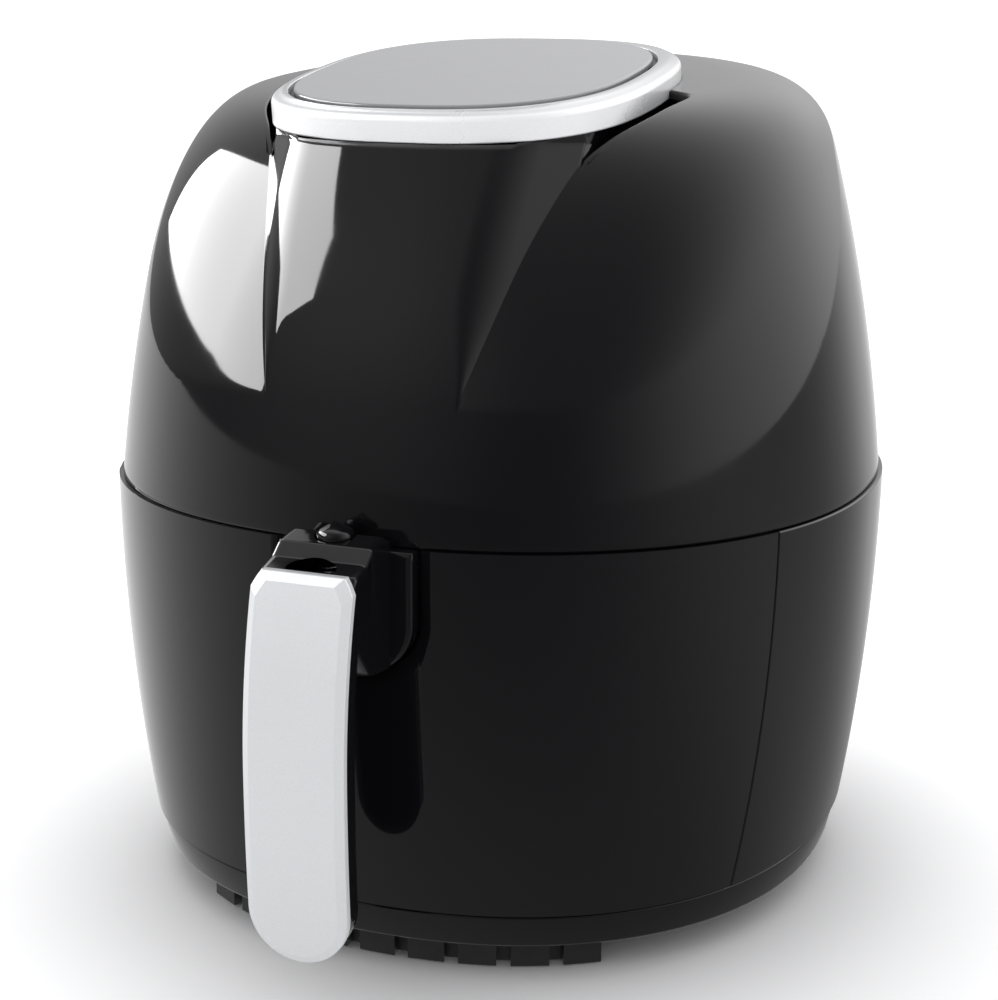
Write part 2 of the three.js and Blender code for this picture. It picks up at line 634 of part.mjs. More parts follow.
function handle() {
  const back = HANDLE_FRONT_Y + 4;
  const cover = gripRows(HANDLE_HALF_WIDTH, HANDLE_TOP_Z).map(([z, half]) => {
    const front = HANDLE_FRONT_Y - gripBow(z);
    const rear = back - gripBow(z);
    const border = Math.min(3, half * 0.6);
    const right = [[half - border, front], [half, front + 1.4], [half, rear]];
    const left = right.map(([x, y]) => [-x, y]).reverse();
    return [...right, ...left].map(([x, y]) => [x, y, z]);
  });
  add("handle_cover", loft(cover), satinSilver);

  const core = gripRows(HANDLE_HALF_WIDTH - 1, HANDLE_TOP_Z - 2).map(([z, half]) => {
    const front = back + GAP - gripBow(z);
    const rear = Math.min(front + 11, ARM_FRONT_Y - GAP);
    const round = Math.min(4, half * 0.5);
    const right = [[half, front], [half, rear - round], [half - round, rear]];
    const left = right.map(([x, y]) => [-x, y]).reverse();
    return [...right, ...left].map(([x, y]) => [x, y, z]);
  });
  add("handle_core", loft(core), mattBlack);

  const corners = [
    [ARM_FRONT_Y, 124], [ARM_FRONT_Y, 148], [-166, 151], [-162, 154], [-149, 155], [-146, 150], [-146, 118],
  ];
  const side = new THREE.Shape(corners.map(([y, z]) => new THREE.Vector2(y, z)));
  const arm = new THREE.ExtrudeGeometry(side, { depth: 32, bevelEnabled: false })
    .rotateY(Math.PI / 2).rotateX(Math.PI / 2).translate(-16, 0, 0);
  const bridge = block(-13, 13, -130, -106, 142, 147.5);
  const well = rod(BUTTON_RADIUS + 0.5, 141, 170, 0, BUTTON_Y, 16);
  const stemHole = rod(2.6, 130, 150, 0, BUTTON_Y, 12);
  const channel = block(-4.5, 4.5, -167, -100, 131.5, 139);
  const bracket = join(arm, tongueBlock(-147, -125.4), bridge);
  add("handle_bracket", cut(bracket, well, stemHole, channel), glossBlack);

  const button = turned([
    [0, 134.6], [2, 134.6], [2, 148], [BUTTON_RADIUS, 148], [BUTTON_RADIUS, 156.5], [4.2, 159], [0, 160],
  ], 20);
  add("release_button", button.translate(0, BUTTON_Y, 0), glossBlack);
  add("button_spring", buttonSpring(), springSteel);
  const slider = cut(block(-4, 4, -163, -123, 132, 134.2), block(-2.6, 2.6, -159, -150, 120, 150));
  add("release_latch", join(slider, block(-4, 4, -127, -123, 133.5, 138)), springSteel);
}

class HelixPath extends THREE.Curve {
  getPoint(t, target = new THREE.Vector3()) {
    const turn = t * 4 * 2 * Math.PI;
    return target.set(3.9 * Math.cos(turn), BUTTON_Y + 3.9 * Math.sin(turn), 141.8 + 5.4 * t);
  }
}

function buttonSpring() {
  const section = new THREE.Shape();
  section.absarc(0, 0, 0.45, 0, 2 * Math.PI);
  return new THREE.ExtrudeGeometry(section, { steps: 36, curveSegments: 3, extrudePath: new HelixPath() });
}

// ---------------------------------------------------------------- assembly
upperHousing();
lowerHousing();
drawerFront();
base();
controlPanel();
heater();
fansAndMotor();
powerElectronics();
exhaust();
cavity();
pan();
basket();
handle();

const box = new THREE.Box3().setFromObject(group);
group.position.y = -(box.min.y + box.max.y) / 2;

export default group;
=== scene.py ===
"""Drawer air fryer, seen from the front right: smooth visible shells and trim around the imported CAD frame.

Shapes are written in millimetres about the body's vertical axis, with the front facing -Y and +Z up.
"""
import math

import bmesh
import bpy
import numpy as np
from mathutils import Matrix, Vector


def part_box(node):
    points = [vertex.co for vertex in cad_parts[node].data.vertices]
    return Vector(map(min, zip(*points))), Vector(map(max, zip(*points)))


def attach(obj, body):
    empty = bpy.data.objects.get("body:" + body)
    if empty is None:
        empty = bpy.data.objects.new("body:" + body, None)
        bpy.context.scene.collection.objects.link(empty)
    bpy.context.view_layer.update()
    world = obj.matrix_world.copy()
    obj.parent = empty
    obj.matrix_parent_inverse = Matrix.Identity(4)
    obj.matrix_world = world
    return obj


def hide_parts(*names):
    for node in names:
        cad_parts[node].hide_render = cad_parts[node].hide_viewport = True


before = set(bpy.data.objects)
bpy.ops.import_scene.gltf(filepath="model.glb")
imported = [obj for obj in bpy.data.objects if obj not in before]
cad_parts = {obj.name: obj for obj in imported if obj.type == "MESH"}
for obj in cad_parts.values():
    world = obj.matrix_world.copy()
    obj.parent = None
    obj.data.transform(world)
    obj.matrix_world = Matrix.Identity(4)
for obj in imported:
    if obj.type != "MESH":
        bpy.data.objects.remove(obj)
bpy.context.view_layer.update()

# ------------------------ driving dimensions, in millimetres
MM = 0.001
AXIS_Y = (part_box("fan_shaft")[0].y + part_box("fan_shaft")[1].y) / 2  # the body axis in the frame, in metres

BODY_EXPONENT = 2.2
BODY_DEPTH_RATIO = 1.035
SPLIT_Z = 151
SPLIT_RADIUS = 140
UPPER_STEP = 1.5
SEAM_Z = 24
SKIRT_Z = 11.5
BELOW_TAPER, BELOW_HEIGHT = 9.5, 126
ABOVE_SLOPE, ABOVE_CURVE = 0.095, 0.00075
DRAWER_FACE_Y = -77
WALL = 2.4

NECK_START_Z = 194
NECK_TOP_Z = 273
NECK_PUSH = 0.00245
NECK_EDGE_X, NECK_SPREAD = 33, 0.063
NECK_SOFTNESS = 7
FACET_SLOPE = 1.15

# The shoulder: its start at the sides, how far in it reaches, the deck it meets, and, in degrees from the
# front, where its long front roll ends and over how wide an angle that fades.
SHOULDER_SIDE_Z = 265
SIDE_REACH, FRONT_REACH = 34, 52
DECK_Z, DECK_DROP = 291, 9
ROLL_END, ROLL_FADE = 95, 70

RING_TILT = math.radians(8.35)
RING_CENTRE = np.array([0, -28.8, 283.85])
RING_HALF_WIDTH, RING_HALF_DEPTH, RING_EXPONENT = 66, 76, 2.7
RING_HEIGHT = 10.8
RING_SIDES = 256
GLASS_HALF_WIDTH, GLASS_HALF_DEPTH, GLASS_EXPONENT, GLASS_SHIFT = 57.6, 67.8, 2.6, -3.5
GLASS_TOP = 11.6
SEAT_MARGIN = 1.8
WELL_GAP = 0.8

HANDLE_BOTTOM_Z = 25
HANDLE_TOP_Z = 149.5
HANDLE_FRONT_Y = -184
COVER_HALF_WIDTH, CORE_HALF_WIDTH = 17, 16.2
HANDLE_BOW = 3
HANDLE_LEAN = 6  # how far the top of the grip leans back
TONGUE_HALF_WIDTH, TONGUE_BOTTOM, TONGUE_TOP, TONGUE_CORNER = 23, 110, 150.6, 17
BUTTON_Y = -153

# ------------------------ studio
# Soft patches are (azimuth, elevation, strength), in degrees and radiance.
SKY = 0.85
ROOM_LOBES = [(-120, 30, 0.6), (-30, 30, 0.6), (90, 5, 0.8), (120, 30, 0.8), (150, 30, 1.5), (180, 60, 1.2)]
FLOOR_LOBES = [(180, -5, 0.9), (-105, -5, 1.2), (-60, -25, 0.5), (90, -5, 0.5), (0, -60, 0.3)]
ROOM_SHARPNESS = 5
FLOOR_SHARPNESS = 4
SOFTBOX_X = -1.0
SOFTBOX_STRENGTH = 14
# Corners of the softbox as (y, z), in metres.
SOFTBOX = [(0.45, 0.4), (0.35, 0.8), (-0.62, 1.58), (-1.12, 1.35), (-1.22, 0.95), (-0.85, 0.58), (-0.2, 0.52)]


# ------------------------ numbers to shapes
def smoothstep(t):
    t = np.clip(t, 0, 1)
    return t * t * (3 - 2 * t)


def signed_power(value, power):
    return np.sign(value) * np.abs(value) ** power


def body_radius(z):
    z = np.asarray(z, float)
    height = z - SPLIT_Z
    below = SPLIT_RADIUS - BELOW_TAPER * (height / BELOW_HEIGHT) ** 2
    above = SPLIT_RADIUS - UPPER_STEP - ABOVE_SLOPE * height - ABOVE_CURVE * height ** 2
    return np.where(z <= SPLIT_Z, below, above)


def section_factor(theta):
    across = np.abs(np.sin(theta)) ** BODY_EXPONENT
    along = (np.abs(np.cos(theta)) / BODY_DEPTH_RATIO) ** BODY_EXPONENT
    return (across + along) ** (-1 / BODY_EXPONENT)


def polar(theta, radius, z):
    """A point at an angle from the front, towards +X."""
    theta, radius, z = np.broadcast_arrays(theta, radius, z)
    return np.stack([radius * np.sin(theta), -radius * np.cos(theta), z], -1)


def body_front(x, z):
    """Y of the body's front surface."""
    r = body_radius(z)
    return -r * BODY_DEPTH_RATIO * (1 - (np.abs(x) / r) ** BODY_EXPONENT) ** (1 / BODY_EXPONENT)


def super_ring(half_width, half_depth, exponent, grow=0.0, shift=0.0, height=0.0):
    angle = np.linspace(0, 2 * np.pi, RING_SIDES, endpoint=False)
    x = (half_width + grow) * signed_power(np.sin(angle), 2 / exponent)
    y = -(half_depth + grow) * signed_power(np.cos(angle), 2 / exponent) + shift
    return np.stack([x, y, np.full(RING_SIDES, float(height))], -1)


def on_panel(points):
    """Moves points from the control panel's own plane into place."""
    x, y, z = np.moveaxis(np.asarray(points, float), -1, 0)
    c, s = math.cos(RING_TILT), math.sin(RING_TILT)
    return np.stack([x, y * c - z * s, y * s + z * c], -1) + RING_CENTRE


def off_panel(points):
    x, y, z = np.moveaxis(np.asarray(points, float) - RING_CENTRE, -1, 0)
    c, s = math.cos(RING_TILT), math.sin(RING_TILT)
    return np.stack([x, y * c + z * s, z * c - y * s], -1)


def rounded(corners, steps=5, closed=True):
    """A path of (a, b, radius) corners with its corners turned into arcs."""
    path = []
    count = len(corners)
    for i, (a, b, radius) in enumerate(corners):
        here = np.array([a, b], float)
        if radius == 0 or (not closed and i in (0, count - 1)):
            path.append(here)
            continue
        before = np.array(corners[i - 1][:2], float) - here
        after = np.array(corners[(i + 1) % count][:2], float) - here
        before /= np.linalg.norm(before)
        after /= np.linalg.norm(after)
        half = math.acos(np.clip(before @ after, -1, 1)) / 2
        reach = radius / math.tan(half)
        centre = here + (before + after) / np.linalg.norm(before + after) * radius / math.sin(half)
        first, last = here + before * reach - centre, here + after * reach - centre
        turn = math.acos(np.clip(first @ last / radius ** 2, -1, 1))
        for k in range(steps + 1):
            t = k / steps
            spoke = math.sin((1 - t) * turn) * first + math.sin(t * turn) * last
            path.append(centre + spoke / math.sin(turn))
    return np.array(path)


def along_path(path):
    """Distance along a path at each of its points."""
    return np.concatenate([[0], np.cumsum(np.linalg.norm(np.diff(path, axis=0), axis=1))])


def through(knots, t):
    """Points at shares t of the length of a smooth curve through the knots."""
    ends = np.vstack([2 * knots[0] - knots[1], knots, 2 * knots[-1] - knots[-2]])
    fine = []
    for a, b, c, d in zip(ends, ends[1:], ends[2:], ends[3:]):
        for u in np.linspace(0, 1, 24, endpoint=False):
            square = (2 * a - 5 * b + 4 * c - d) * u ** 2
            cube = (3 * b - a - 3 * c + d) * u ** 3
            fine.append(0.5 * (2 * b + (c - a) * u + square + cube))
    fine = np.array([*fine, knots[-1]])
    length = along_path(fine)
    return np.stack([np.interp(np.asarray(t) * length[-1], length, fine[:, k]) for k in (0, 1)], -1)


class Sheet:
    """Grids of points gathered into one surface. Seen from outside, columns run to the right and rows up."""

    def __init__(self):
        self.points = []
        self.faces = []
        self.count = 0

    def grid(self, rows, loop=False, flip=False):
        rows = np.asarray(rows, float)
        height, width = rows.shape[:2]
        index = np.arange(height * width).reshape(height, width) + self.count
        if loop:
            index = np.hstack([index, index[:, :1]])
        quads = np.stack([index[:-1, :-1], index[:-1, 1:], index[1:, 1:], index[1:, :-1]], -1).reshape(-1, 4)
        self.points.append(rows.reshape(-1, 3))
        self.faces.append(quads[:, ::-1] if flip else quads)
        self.count += height * width
        return self

    def mirrored(self):
        """Adds the same surface on the other side of the x = 0 plane."""
        for points, faces in list(zip(self.points, self.faces)):
            start = self.count
            low = faces.min()
            self.points.append(points * [-1, 1, 1])
            self.faces.append((faces - low + start)[:, ::-1])
            self.count += len(points)
        return self


def place(points):
    return np.asarray(points, float) * MM + [0, AXIS_Y, 0]


def piece(name, sheet, body, slot, material, *nodes, weld=2e-6):
    """Makes the sheet an object that rides on a CAD body and stands for the CAD nodes named."""
    mesh = bpy.data.meshes.new(name)
    mesh.from_pydata(place(np.vstack(sheet.points)).tolist(), [], np.vstack(sheet.faces).tolist())
    bm = bmesh.new()
    bm.from_mesh(mesh)
    bmesh.ops.remove_doubles(bm, verts=bm.verts, dist=weld)
    bmesh.ops.dissolve_degenerate(bm, edges=bm.edges, dist=weld / 2)
    bm.to_mesh(mesh)
    bm.free()
    mesh.shade_smooth()
    obj = bpy.data.objects.new(name, mesh)
    bpy.context.scene.collection.objects.link(obj)
    mesh.materials.append(material)
    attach(obj, body)
    if nodes:
        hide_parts(*nodes)
    return obj


def thicken(obj, thickness=WALL):
    modifier = obj.modifiers.new("wall", "SOLIDIFY")
    modifier.thickness = thickness * MM
    modifier.offset = -1
    return obj


def soften(obj, width, segments=3, angle=40):
    modifier = obj.modifiers.new("edges", "BEVEL")
    modifier.width = width * MM
    modifier.segments = segments
    modifier.limit_method = "ANGLE"
    modifier.angle_limit = math.radians(angle)
    modifier.harden_normals = True
    modifier.use_clamp_overlap = True
    return obj


def flatten(obj):
    """Keeps large faces flat beside small rounded edges."""
    modifier = obj.modifiers.new("normals", "WEIGHTED_NORMAL")
    modifier.weight = 80
    modifier.keep_sharp = False
    return obj


# ------------------------ materials
def shader(name, color, roughness, metallic=0.0, ior=1.45, coat=0.0, anisotropic=0.0):
    material = bpy.data.materials.new(name)
    material.use_nodes = True
    bsdf = material.node_tree.nodes["Principled BSDF"]
    values = {"Base Color": (*color, 1), "Roughness": roughness, "Metallic": metallic, "IOR": ior,
              "Coat Weight": coat, "Coat Roughness": 0.04, "Anisotropic": anisotropic}
    for key, value in values.items():
        bsdf.inputs[key].default_value = value
    return material


def noise(material, scale, detail=2.0, stretch=(1, 1, 1)):
    nodes, links = material.node_tree.nodes, material.node_tree.links
    place_node = nodes.new("ShaderNodeTexCoord")
    mapping = nodes.new("ShaderNodeMapping")
    mapping.inputs["Scale"].default_value = stretch
    texture = nodes.new("ShaderNodeTexNoise")
    texture.inputs["Scale"].default_value = scale
    texture.inputs["Detail"].default_value = detail
    links.new(place_node.outputs["Object"], mapping.inputs["Vector"])
    links.new(mapping.outputs["Vector"], texture.inputs["Vector"])
    return texture.outputs["Fac"]


def spread(material, factor, low, high, start=0.3, end=0.7):
    """Maps a noise value to a range."""
    nodes, links = material.node_tree.nodes, material.node_tree.links
    node = nodes.new("ShaderNodeMapRange")
    node.inputs["From Min"].default_value = start
    node.inputs["From Max"].default_value = end
    node.inputs["To Min"].default_value = low
    node.inputs["To Max"].default_value = high
    links.new(factor, node.inputs["Value"])
    return node.outputs["Result"]


def vary_roughness(material, factor, low, high):
    bsdf = material.node_tree.nodes["Principled BSDF"]
    material.node_tree.links.new(spread(material, factor, low, high), bsdf.inputs["Roughness"])


def vary_color(material, factor, first, second):
    nodes, links = material.node_tree.nodes, material.node_tree.links
    ramp = nodes.new("ShaderNodeValToRGB")
    ramp.color_ramp.elements[0].position = 0.35
    ramp.color_ramp.elements[0].color = (*first, 1)
    ramp.color_ramp.elements[1].position = 0.65
    ramp.color_ramp.elements[1].color = (*second, 1)
    links.new(factor, ramp.inputs["Fac"])
    links.new(ramp.outputs["Color"], nodes["Principled BSDF"].inputs["Base Color"])


def bump(material, factor, distance, strength=1.0):
    nodes, links = material.node_tree.nodes, material.node_tree.links
    node = nodes.new("ShaderNodeBump")
    node.inputs["Strength"].default_value = strength
    node.inputs["Distance"].default_value = distance * MM
    bsdf = nodes["Principled BSDF"]
    links.new(factor, node.inputs["Height"])
    if bsdf.inputs["Normal"].is_linked:
        links.new(bsdf.inputs["Normal"].links[0].from_socket, node.inputs["Normal"])
    links.new(node.outputs["Normal"], bsdf.inputs["Normal"])


def gloss_plastic(name, color, low, high):
    """Polished moulding: faint waves from the mould, and a haze of handling marks in the roughness."""
    material = shader(name, color, low, ior=1.42)
    vary_roughness(material, noise(material, 34, 5), low, high)
    bump(material, noise(material, 24, 1), 0.012)
    bump(material, noise(material, 420, 2), 0.0006)
    return material


def grained_plastic(name, color, roughness, grain=900, depth=0.05):
    """Spark-eroded moulding."""
    material = shader(name, color, roughness)
    fine = noise(material, grain, 3)
    vary_roughness(material, fine, roughness - 0.08, roughness + 0.08)
    vary_color(material, noise(material, 60, 3), [c * 0.8 for c in color], [c * 1.2 for c in color])
    bump(material, fine, depth)
    return material


def brushed_metal(name, color, roughness, stretch=(1, 1, 0.03), depth=0.004):
    material = shader(name, color, roughness, metallic=1.0, anisotropic=0.3)
    lines = noise(material, 1500, 2, stretch)
    vary_roughness(material, lines, roughness - 0.06, roughness + 0.08)
    vary_color(material, noise(material, 45, 3), [c * 0.92 for c in color], color)
    bump(material, lines, depth)
    return material


def painted_silver(name, bright, upward_shade, roughness):
    """Metal-flake lacquer with a thin clear coat, bright on upright faces and painted darker on upward ones,
    as painted shade.
    """
    material = shader(name, bright, roughness, metallic=0.2, coat=0.2)
    flake = noise(material, 2600, 1)
    vary_color(material, flake, [c * 0.95 for c in bright], bright)
    vary_roughness(material, noise(material, 55, 4), roughness - 0.04, roughness + 0.05)
    bump(material, flake, 0.003)
    nodes, links = material.node_tree.nodes, material.node_tree.links
    color = nodes["Principled BSDF"].inputs["Base Color"]
    # Painted shade: the colour is mixed towards the darker second colour as the surface faces up.
    up = nodes.new("ShaderNodeSeparateXYZ")
    links.new(nodes.new("ShaderNodeTexCoord").outputs["Normal"], up.inputs[0])
    upward_shade_mix = nodes.new("ShaderNodeMix")
    upward_shade_mix.data_type = "RGBA"
    upward_shade_mix.inputs["B"].default_value = (*upward_shade, 1)
    links.new(spread(material, up.outputs["Z"], 0, 1, 0.6, 0.97), upward_shade_mix.inputs["Factor"])
    links.new(color.links[0].from_socket, upward_shade_mix.inputs["A"])
    links.new(upward_shade_mix.outputs["Result"], color)
    return material


gloss_black = gloss_plastic("gloss_black_plastic", (0.0035, 0.0034, 0.0042), 0.03, 0.075)
gloss_black_trim = gloss_plastic("gloss_black_trim", (0.004, 0.0039, 0.0047), 0.05, 0.11)
matt_black = grained_plastic("matt_black_plastic", (0.012, 0.012, 0.013), 0.5)
# The second colour of each silver is painted shade for its upward faces.
silver = painted_silver("silver_lacquer", (0.74, 0.75, 0.765), (0.5, 0.505, 0.515), 0.33)
ring_silver = painted_silver("ring_silver_lacquer", (0.93, 0.935, 0.94), (0.33, 0.333, 0.34), 0.3)
steel = brushed_metal("pressed_steel", (0.55, 0.56, 0.57), 0.33)
spring = brushed_metal("spring_steel", (0.42, 0.43, 0.45), 0.26, (1, 1, 0.3))
aluminium = brushed_metal("aluminium", (0.7, 0.71, 0.72), 0.36, (1, 1, 0.2))
copper = brushed_metal("copper", (0.62, 0.27, 0.13), 0.3, (0.1, 1, 1))
rubber = grained_plastic("rubber", (0.014, 0.014, 0.014), 0.78, 1400, 0.08)
white_plastic = grained_plastic("white_plastic", (0.62, 0.61, 0.58), 0.42, 700, 0.02)
board = grained_plastic("circuit_board", (0.012, 0.09, 0.035), 0.36, 300, 0.02)

nonstick = shader("nonstick_coating", (0.018, 0.018, 0.019), 0.4)
vary_color(nonstick, noise(nonstick, 2400, 1), (0.012, 0.012, 0.013), (0.05, 0.05, 0.052))
vary_roughness(nonstick, noise(nonstick, 70, 4), 0.3, 0.46)
bump(nonstick, noise(nonstick, 650, 3), 0.03)

heater_sheath = shader("heater_sheath", (0.05, 0.047, 0.045), 0.45, metallic=0.8)
vary_color(heater_sheath, noise(heater_sheath, 90, 4), (0.03, 0.028, 0.027), (0.11, 0.095, 0.085))
vary_roughness(heater_sheath, noise(heater_sheath, 260, 3), 0.35, 0.6)
bump(heater_sheath, noise(heater_sheath, 900, 2), 0.02)

panel_glass = shader("panel_glass", (0.26, 0.262, 0.272), 0.1, ior=1.45)
vary_color(panel_glass, noise(panel_glass, 3000, 1), (0.25, 0.253, 0.263), (0.275, 0.278, 0.288))
vary_roughness(panel_glass, noise(panel_glass, 40, 4), 0.08, 0.16)
bump(panel_glass, noise(panel_glass, 18, 1), 0.004)


# ------------------------ cutting
def cutter(name, sheet):
    """A closed shape used only to cut others."""
    obj = piece(name, sheet, "housing", "matt_black", matt_black)
    obj.hide_render = True
    return obj


def apply_modifiers(obj):
    bpy.context.view_layer.update()
    evaluated = obj.evaluated_get(bpy.context.evaluated_depsgraph_get())
    mesh = bpy.data.meshes.new_from_object(evaluated)
    obj.modifiers.clear()
    obj.data = mesh


def cut(obj, *tools):
    for tool in tools:
        modifier = obj.modifiers.new("cut", "BOOLEAN")
        modifier.operation = "DIFFERENCE"
        modifier.solver = "EXACT"
        modifier.object = tool
    apply_modifiers(obj)
    for tool in tools:
        bpy.data.objects.remove(tool)
    return obj


# ------------------------ upper housing
UPPER_BOTTOM_Z = SPLIT_Z + 0.5


def shoulder_point(theta, s):
    """The upper housing at an angle. s is 1 at the top of the wall, 2 past the shoulder, 3 at the middle."""
    theta, s = np.broadcast_arrays(np.asarray(theta, float), np.asarray(s, float))
    roll = smoothstep((ROLL_END - np.degrees(theta)) / ROLL_FADE)
    start = SHOULDER_SIDE_Z + (NECK_START_Z - SHOULDER_SIDE_Z) * roll
    top = DECK_Z - DECK_DROP * np.cos(theta)
    reach = SIDE_REACH + (FRONT_REACH - SIDE_REACH) * roll
    lift_power = 3 - 2 * roll
    edge_power = 1 / 3 + 0.0567 * roll
    up = np.clip(s - 1, 0, 1)
    up = 1 - (1 - up) ** 2
    z = UPPER_BOTTOM_Z + (start - UPPER_BOTTOM_Z) * np.clip(s, 0, 1) + (top - start) * up
    eased = 1.02 * up ** 2 / (up + 0.02)
    inset = reach * (1 - (1 - np.minimum(eased, 1) ** lift_power) ** edge_power)
    radius = body_radius(z) * section_factor(theta) - inset
    deck = np.clip(s - 2, 0, 1)
    return polar(theta, radius * (1 - deck), z + (DECK_Z - z) * deck)


def neck_edge(z):
    return NECK_EDGE_X + (np.minimum(z, NECK_TOP_Z) - NECK_START_Z) * NECK_SPREAD


def neck_front(x, z):
    z = np.minimum(z, NECK_TOP_Z)
    return body_front(x, z) + NECK_PUSH * np.maximum(0, z - NECK_START_Z) ** 2


def neck_face(x, z):
    """Y of the neck's front and of the flat swept back from its soft edge."""
    softness = NECK_SOFTNESS * smoothstep((z - NECK_START_Z) / 40) + 1e-6
    over = x - neck_edge(z)
    bend = (over + softness) ** 2 / (4 * softness)
    back = np.where(over < -softness, 0, np.where(over > softness, over, bend))
    return neck_front(x - back, z) + FACET_SLOPE * back


def neck_lean(z):
    return neck_front(0, z) - neck_front(0, NECK_TOP_Z)


def neck_side(y_level, z):
    """X of the neck's flat or side, whichever is nearer the middle; y_level is y less the neck's lean."""
    y = y_level + neck_lean(z)
    low, high = neck_edge(z) * 0.5 + 0 * y, np.full(np.broadcast(y, z).shape, 90.0)
    for _ in range(40):
        middle = (low + high) / 2
        short = neck_face(middle, z) < y
        low, high = np.where(short, middle, low), np.where(short, high, middle)
    along = np.clip(np.abs(y_level - RING_CENTRE[1]) / (RING_HALF_DEPTH - 1.2), 0, 1)
    side = (RING_HALF_WIDTH - 1.2) * (1 - along ** RING_EXPONENT) ** (1 / RING_EXPONENT)
    side = side + 30 * smoothstep((-72 - y_level) / 20)
    blend = 3.0
    gap = np.clip((side - low) / blend, -1, 1)
    return np.minimum(side, low) - blend * (1 - np.abs(gap)) ** 2 / 4


def neck_top(y):
    """Height of the panel ring's underside."""
    return RING_CENTRE[2] + math.tan(RING_TILT) * (y - RING_CENTRE[1]) + 0.2


def slot_rim(t):
    """Plan of the intake slot's outer rim, front to back."""
    knots = np.array([[57.5, -88], [63.4, -76.5], [68.7, -64.5], [73.2, -52], [76.4, -41],
                      [77.2, -34.5], [76.2, -30.2], [72.6, -26], [66.8, -21.5]])
    return through(knots, t)


NECK_ROWS = 44
WALL_ROWS = 24
SHOULDER_ROWS = 56
RIM_STEPS = 6
WALL_STEPS = 8
FLOOR_STEPS = 6
SLOT_DEPTH = 15
WALL_SHARES, ROLL_SHARES, DECK_SHARES = np.linspace(0, 1, 160), np.linspace(1, 2, 700), np.linspace(2, 3, 160)
COLUMN_SHARES = np.concatenate([WALL_SHARES, ROLL_SHARES[1:], DECK_SHARES[1:]])
FOOT_SEARCH = 300  # a column passes the height of the neck's start within this many of its points


def columns(theta, inside):
    """Points of each column, from the bottom to where inside(path, column) turns positive."""
    made = []
    for k, angle in enumerate(theta):
        path = shoulder_point(angle, COLUMN_SHARES)
        length = along_path(path)
        depth = inside(path, k)
        past = np.argmax(depth > 0) if (depth > 0).any() else len(depth) - 1
        past = max(past, 1)
        change = depth[past - 1] - depth[past]
        share = depth[past - 1] / change if change else 0
        end = length[past - 1] + np.clip(share, 0, 1) * (length[past] - length[past - 1])
        foot = np.interp(NECK_START_Z, path[:FOOT_SEARCH, 2], length[:FOOT_SEARCH])
        at = np.concatenate([np.linspace(0, foot, WALL_ROWS), np.linspace(foot, end, SHOULDER_ROWS)[1:]])
        made.append(np.stack([np.interp(at, length, path[:, j]) for j in range(3)], -1))
    return np.stack(made, 1)


def above_neck_start(path, k):
    return path[:, 2] - NECK_START_Z


def in_neck(path, k):
    if k == 0:
        return above_neck_start(path, k)
    return np.where(path[:, 2] < NECK_START_Z, -1e-9, path[:, 1] - neck_face(path[:, 0], path[:, 2]))


def in_well(path, k):
    local = off_panel(path)
    metric = (np.abs(local[:, 0]) / (RING_HALF_WIDTH + WELL_GAP)) ** RING_EXPONENT
    metric = metric + (np.abs(local[:, 1]) / (RING_HALF_DEPTH + WELL_GAP)) ** RING_EXPONENT
    return 1 - metric


def with_lip(part):
    """Adds a bottom lip, turned in round a small radius."""
    radius = 0.9
    base = part[0]
    inward = base * [-1, -1, 0] / np.linalg.norm(base[:, :2], axis=1)[:, None]
    rows = [base + inward * 2.6 + [0, 0, -radius]]
    for a in np.linspace(math.pi / 2, 0, 5)[:-1]:
        rows.append(base + inward * radius * (1 - math.cos(a)) + [0, 0, -radius * math.sin(a)])
    return np.concatenate([np.stack(rows), part])


def neck_grid(front_x):
    """The neck's front, above the body."""
    v = np.linspace(0, 1, NECK_ROWS)[:, None]
    z_top = neck_top(neck_front(front_x, NECK_TOP_Z))
    z = NECK_START_Z + (z_top - NECK_START_Z) * v
    x = neck_edge(z) * (front_x / front_x[-1])
    return np.stack([x, neck_face(x, z), z], -1)


def flat_grid(crease_end, level_end):
    """The neck's flat, between the crease and the ring."""
    v = np.linspace(0, 1, NECK_ROWS)[:, None]
    corner_z = neck_top(neck_front(neck_edge(NECK_TOP_Z), NECK_TOP_Z))
    corner_level = float(neck_face(neck_edge(corner_z), corner_z) - neck_lean(corner_z))
    x_low, z_low = crease_end[:, 0], crease_end[:, 2]
    level_top = corner_level + (level_end - corner_level) * np.linspace(0, 1, len(crease_end))
    z_high = neck_top(level_top)
    x_high = neck_side(level_top, z_high)
    x_high[0] = neck_edge(z_high[0])
    over_low = x_low - neck_edge(z_low)
    over_high = x_high - neck_edge(z_high)
    z = z_low + (z_high - z_low) * v
    x = neck_edge(z) + over_low + (over_high - over_low) * v
    flat = np.stack([x, neck_face(x, z), z], -1)
    flat[0] = crease_end
    return flat


def slot_wall(first, level, rim, rim_t):
    """The slot's inner wall, from the last column of the flat to the slot's back end."""
    v = np.linspace(0, 1, NECK_ROWS)[:, None]
    floor_z = rim[:, 2] - SLOT_DEPTH * smoothstep(rim_t / 0.3)
    z = floor_z + (neck_top(level) - floor_z) * v
    clear_of_rim = rim[:, 0] - 7 * smoothstep(rim_t / 0.35)
    x = np.minimum(neck_side(level + 0 * z, z), clear_of_rim)
    wall = np.stack([x, level + neck_lean(z), z], -1)
    ease = smoothstep(rim_t / 0.04)[None, :, None]
    return wall * ease + first[:, None] * (1 - ease)


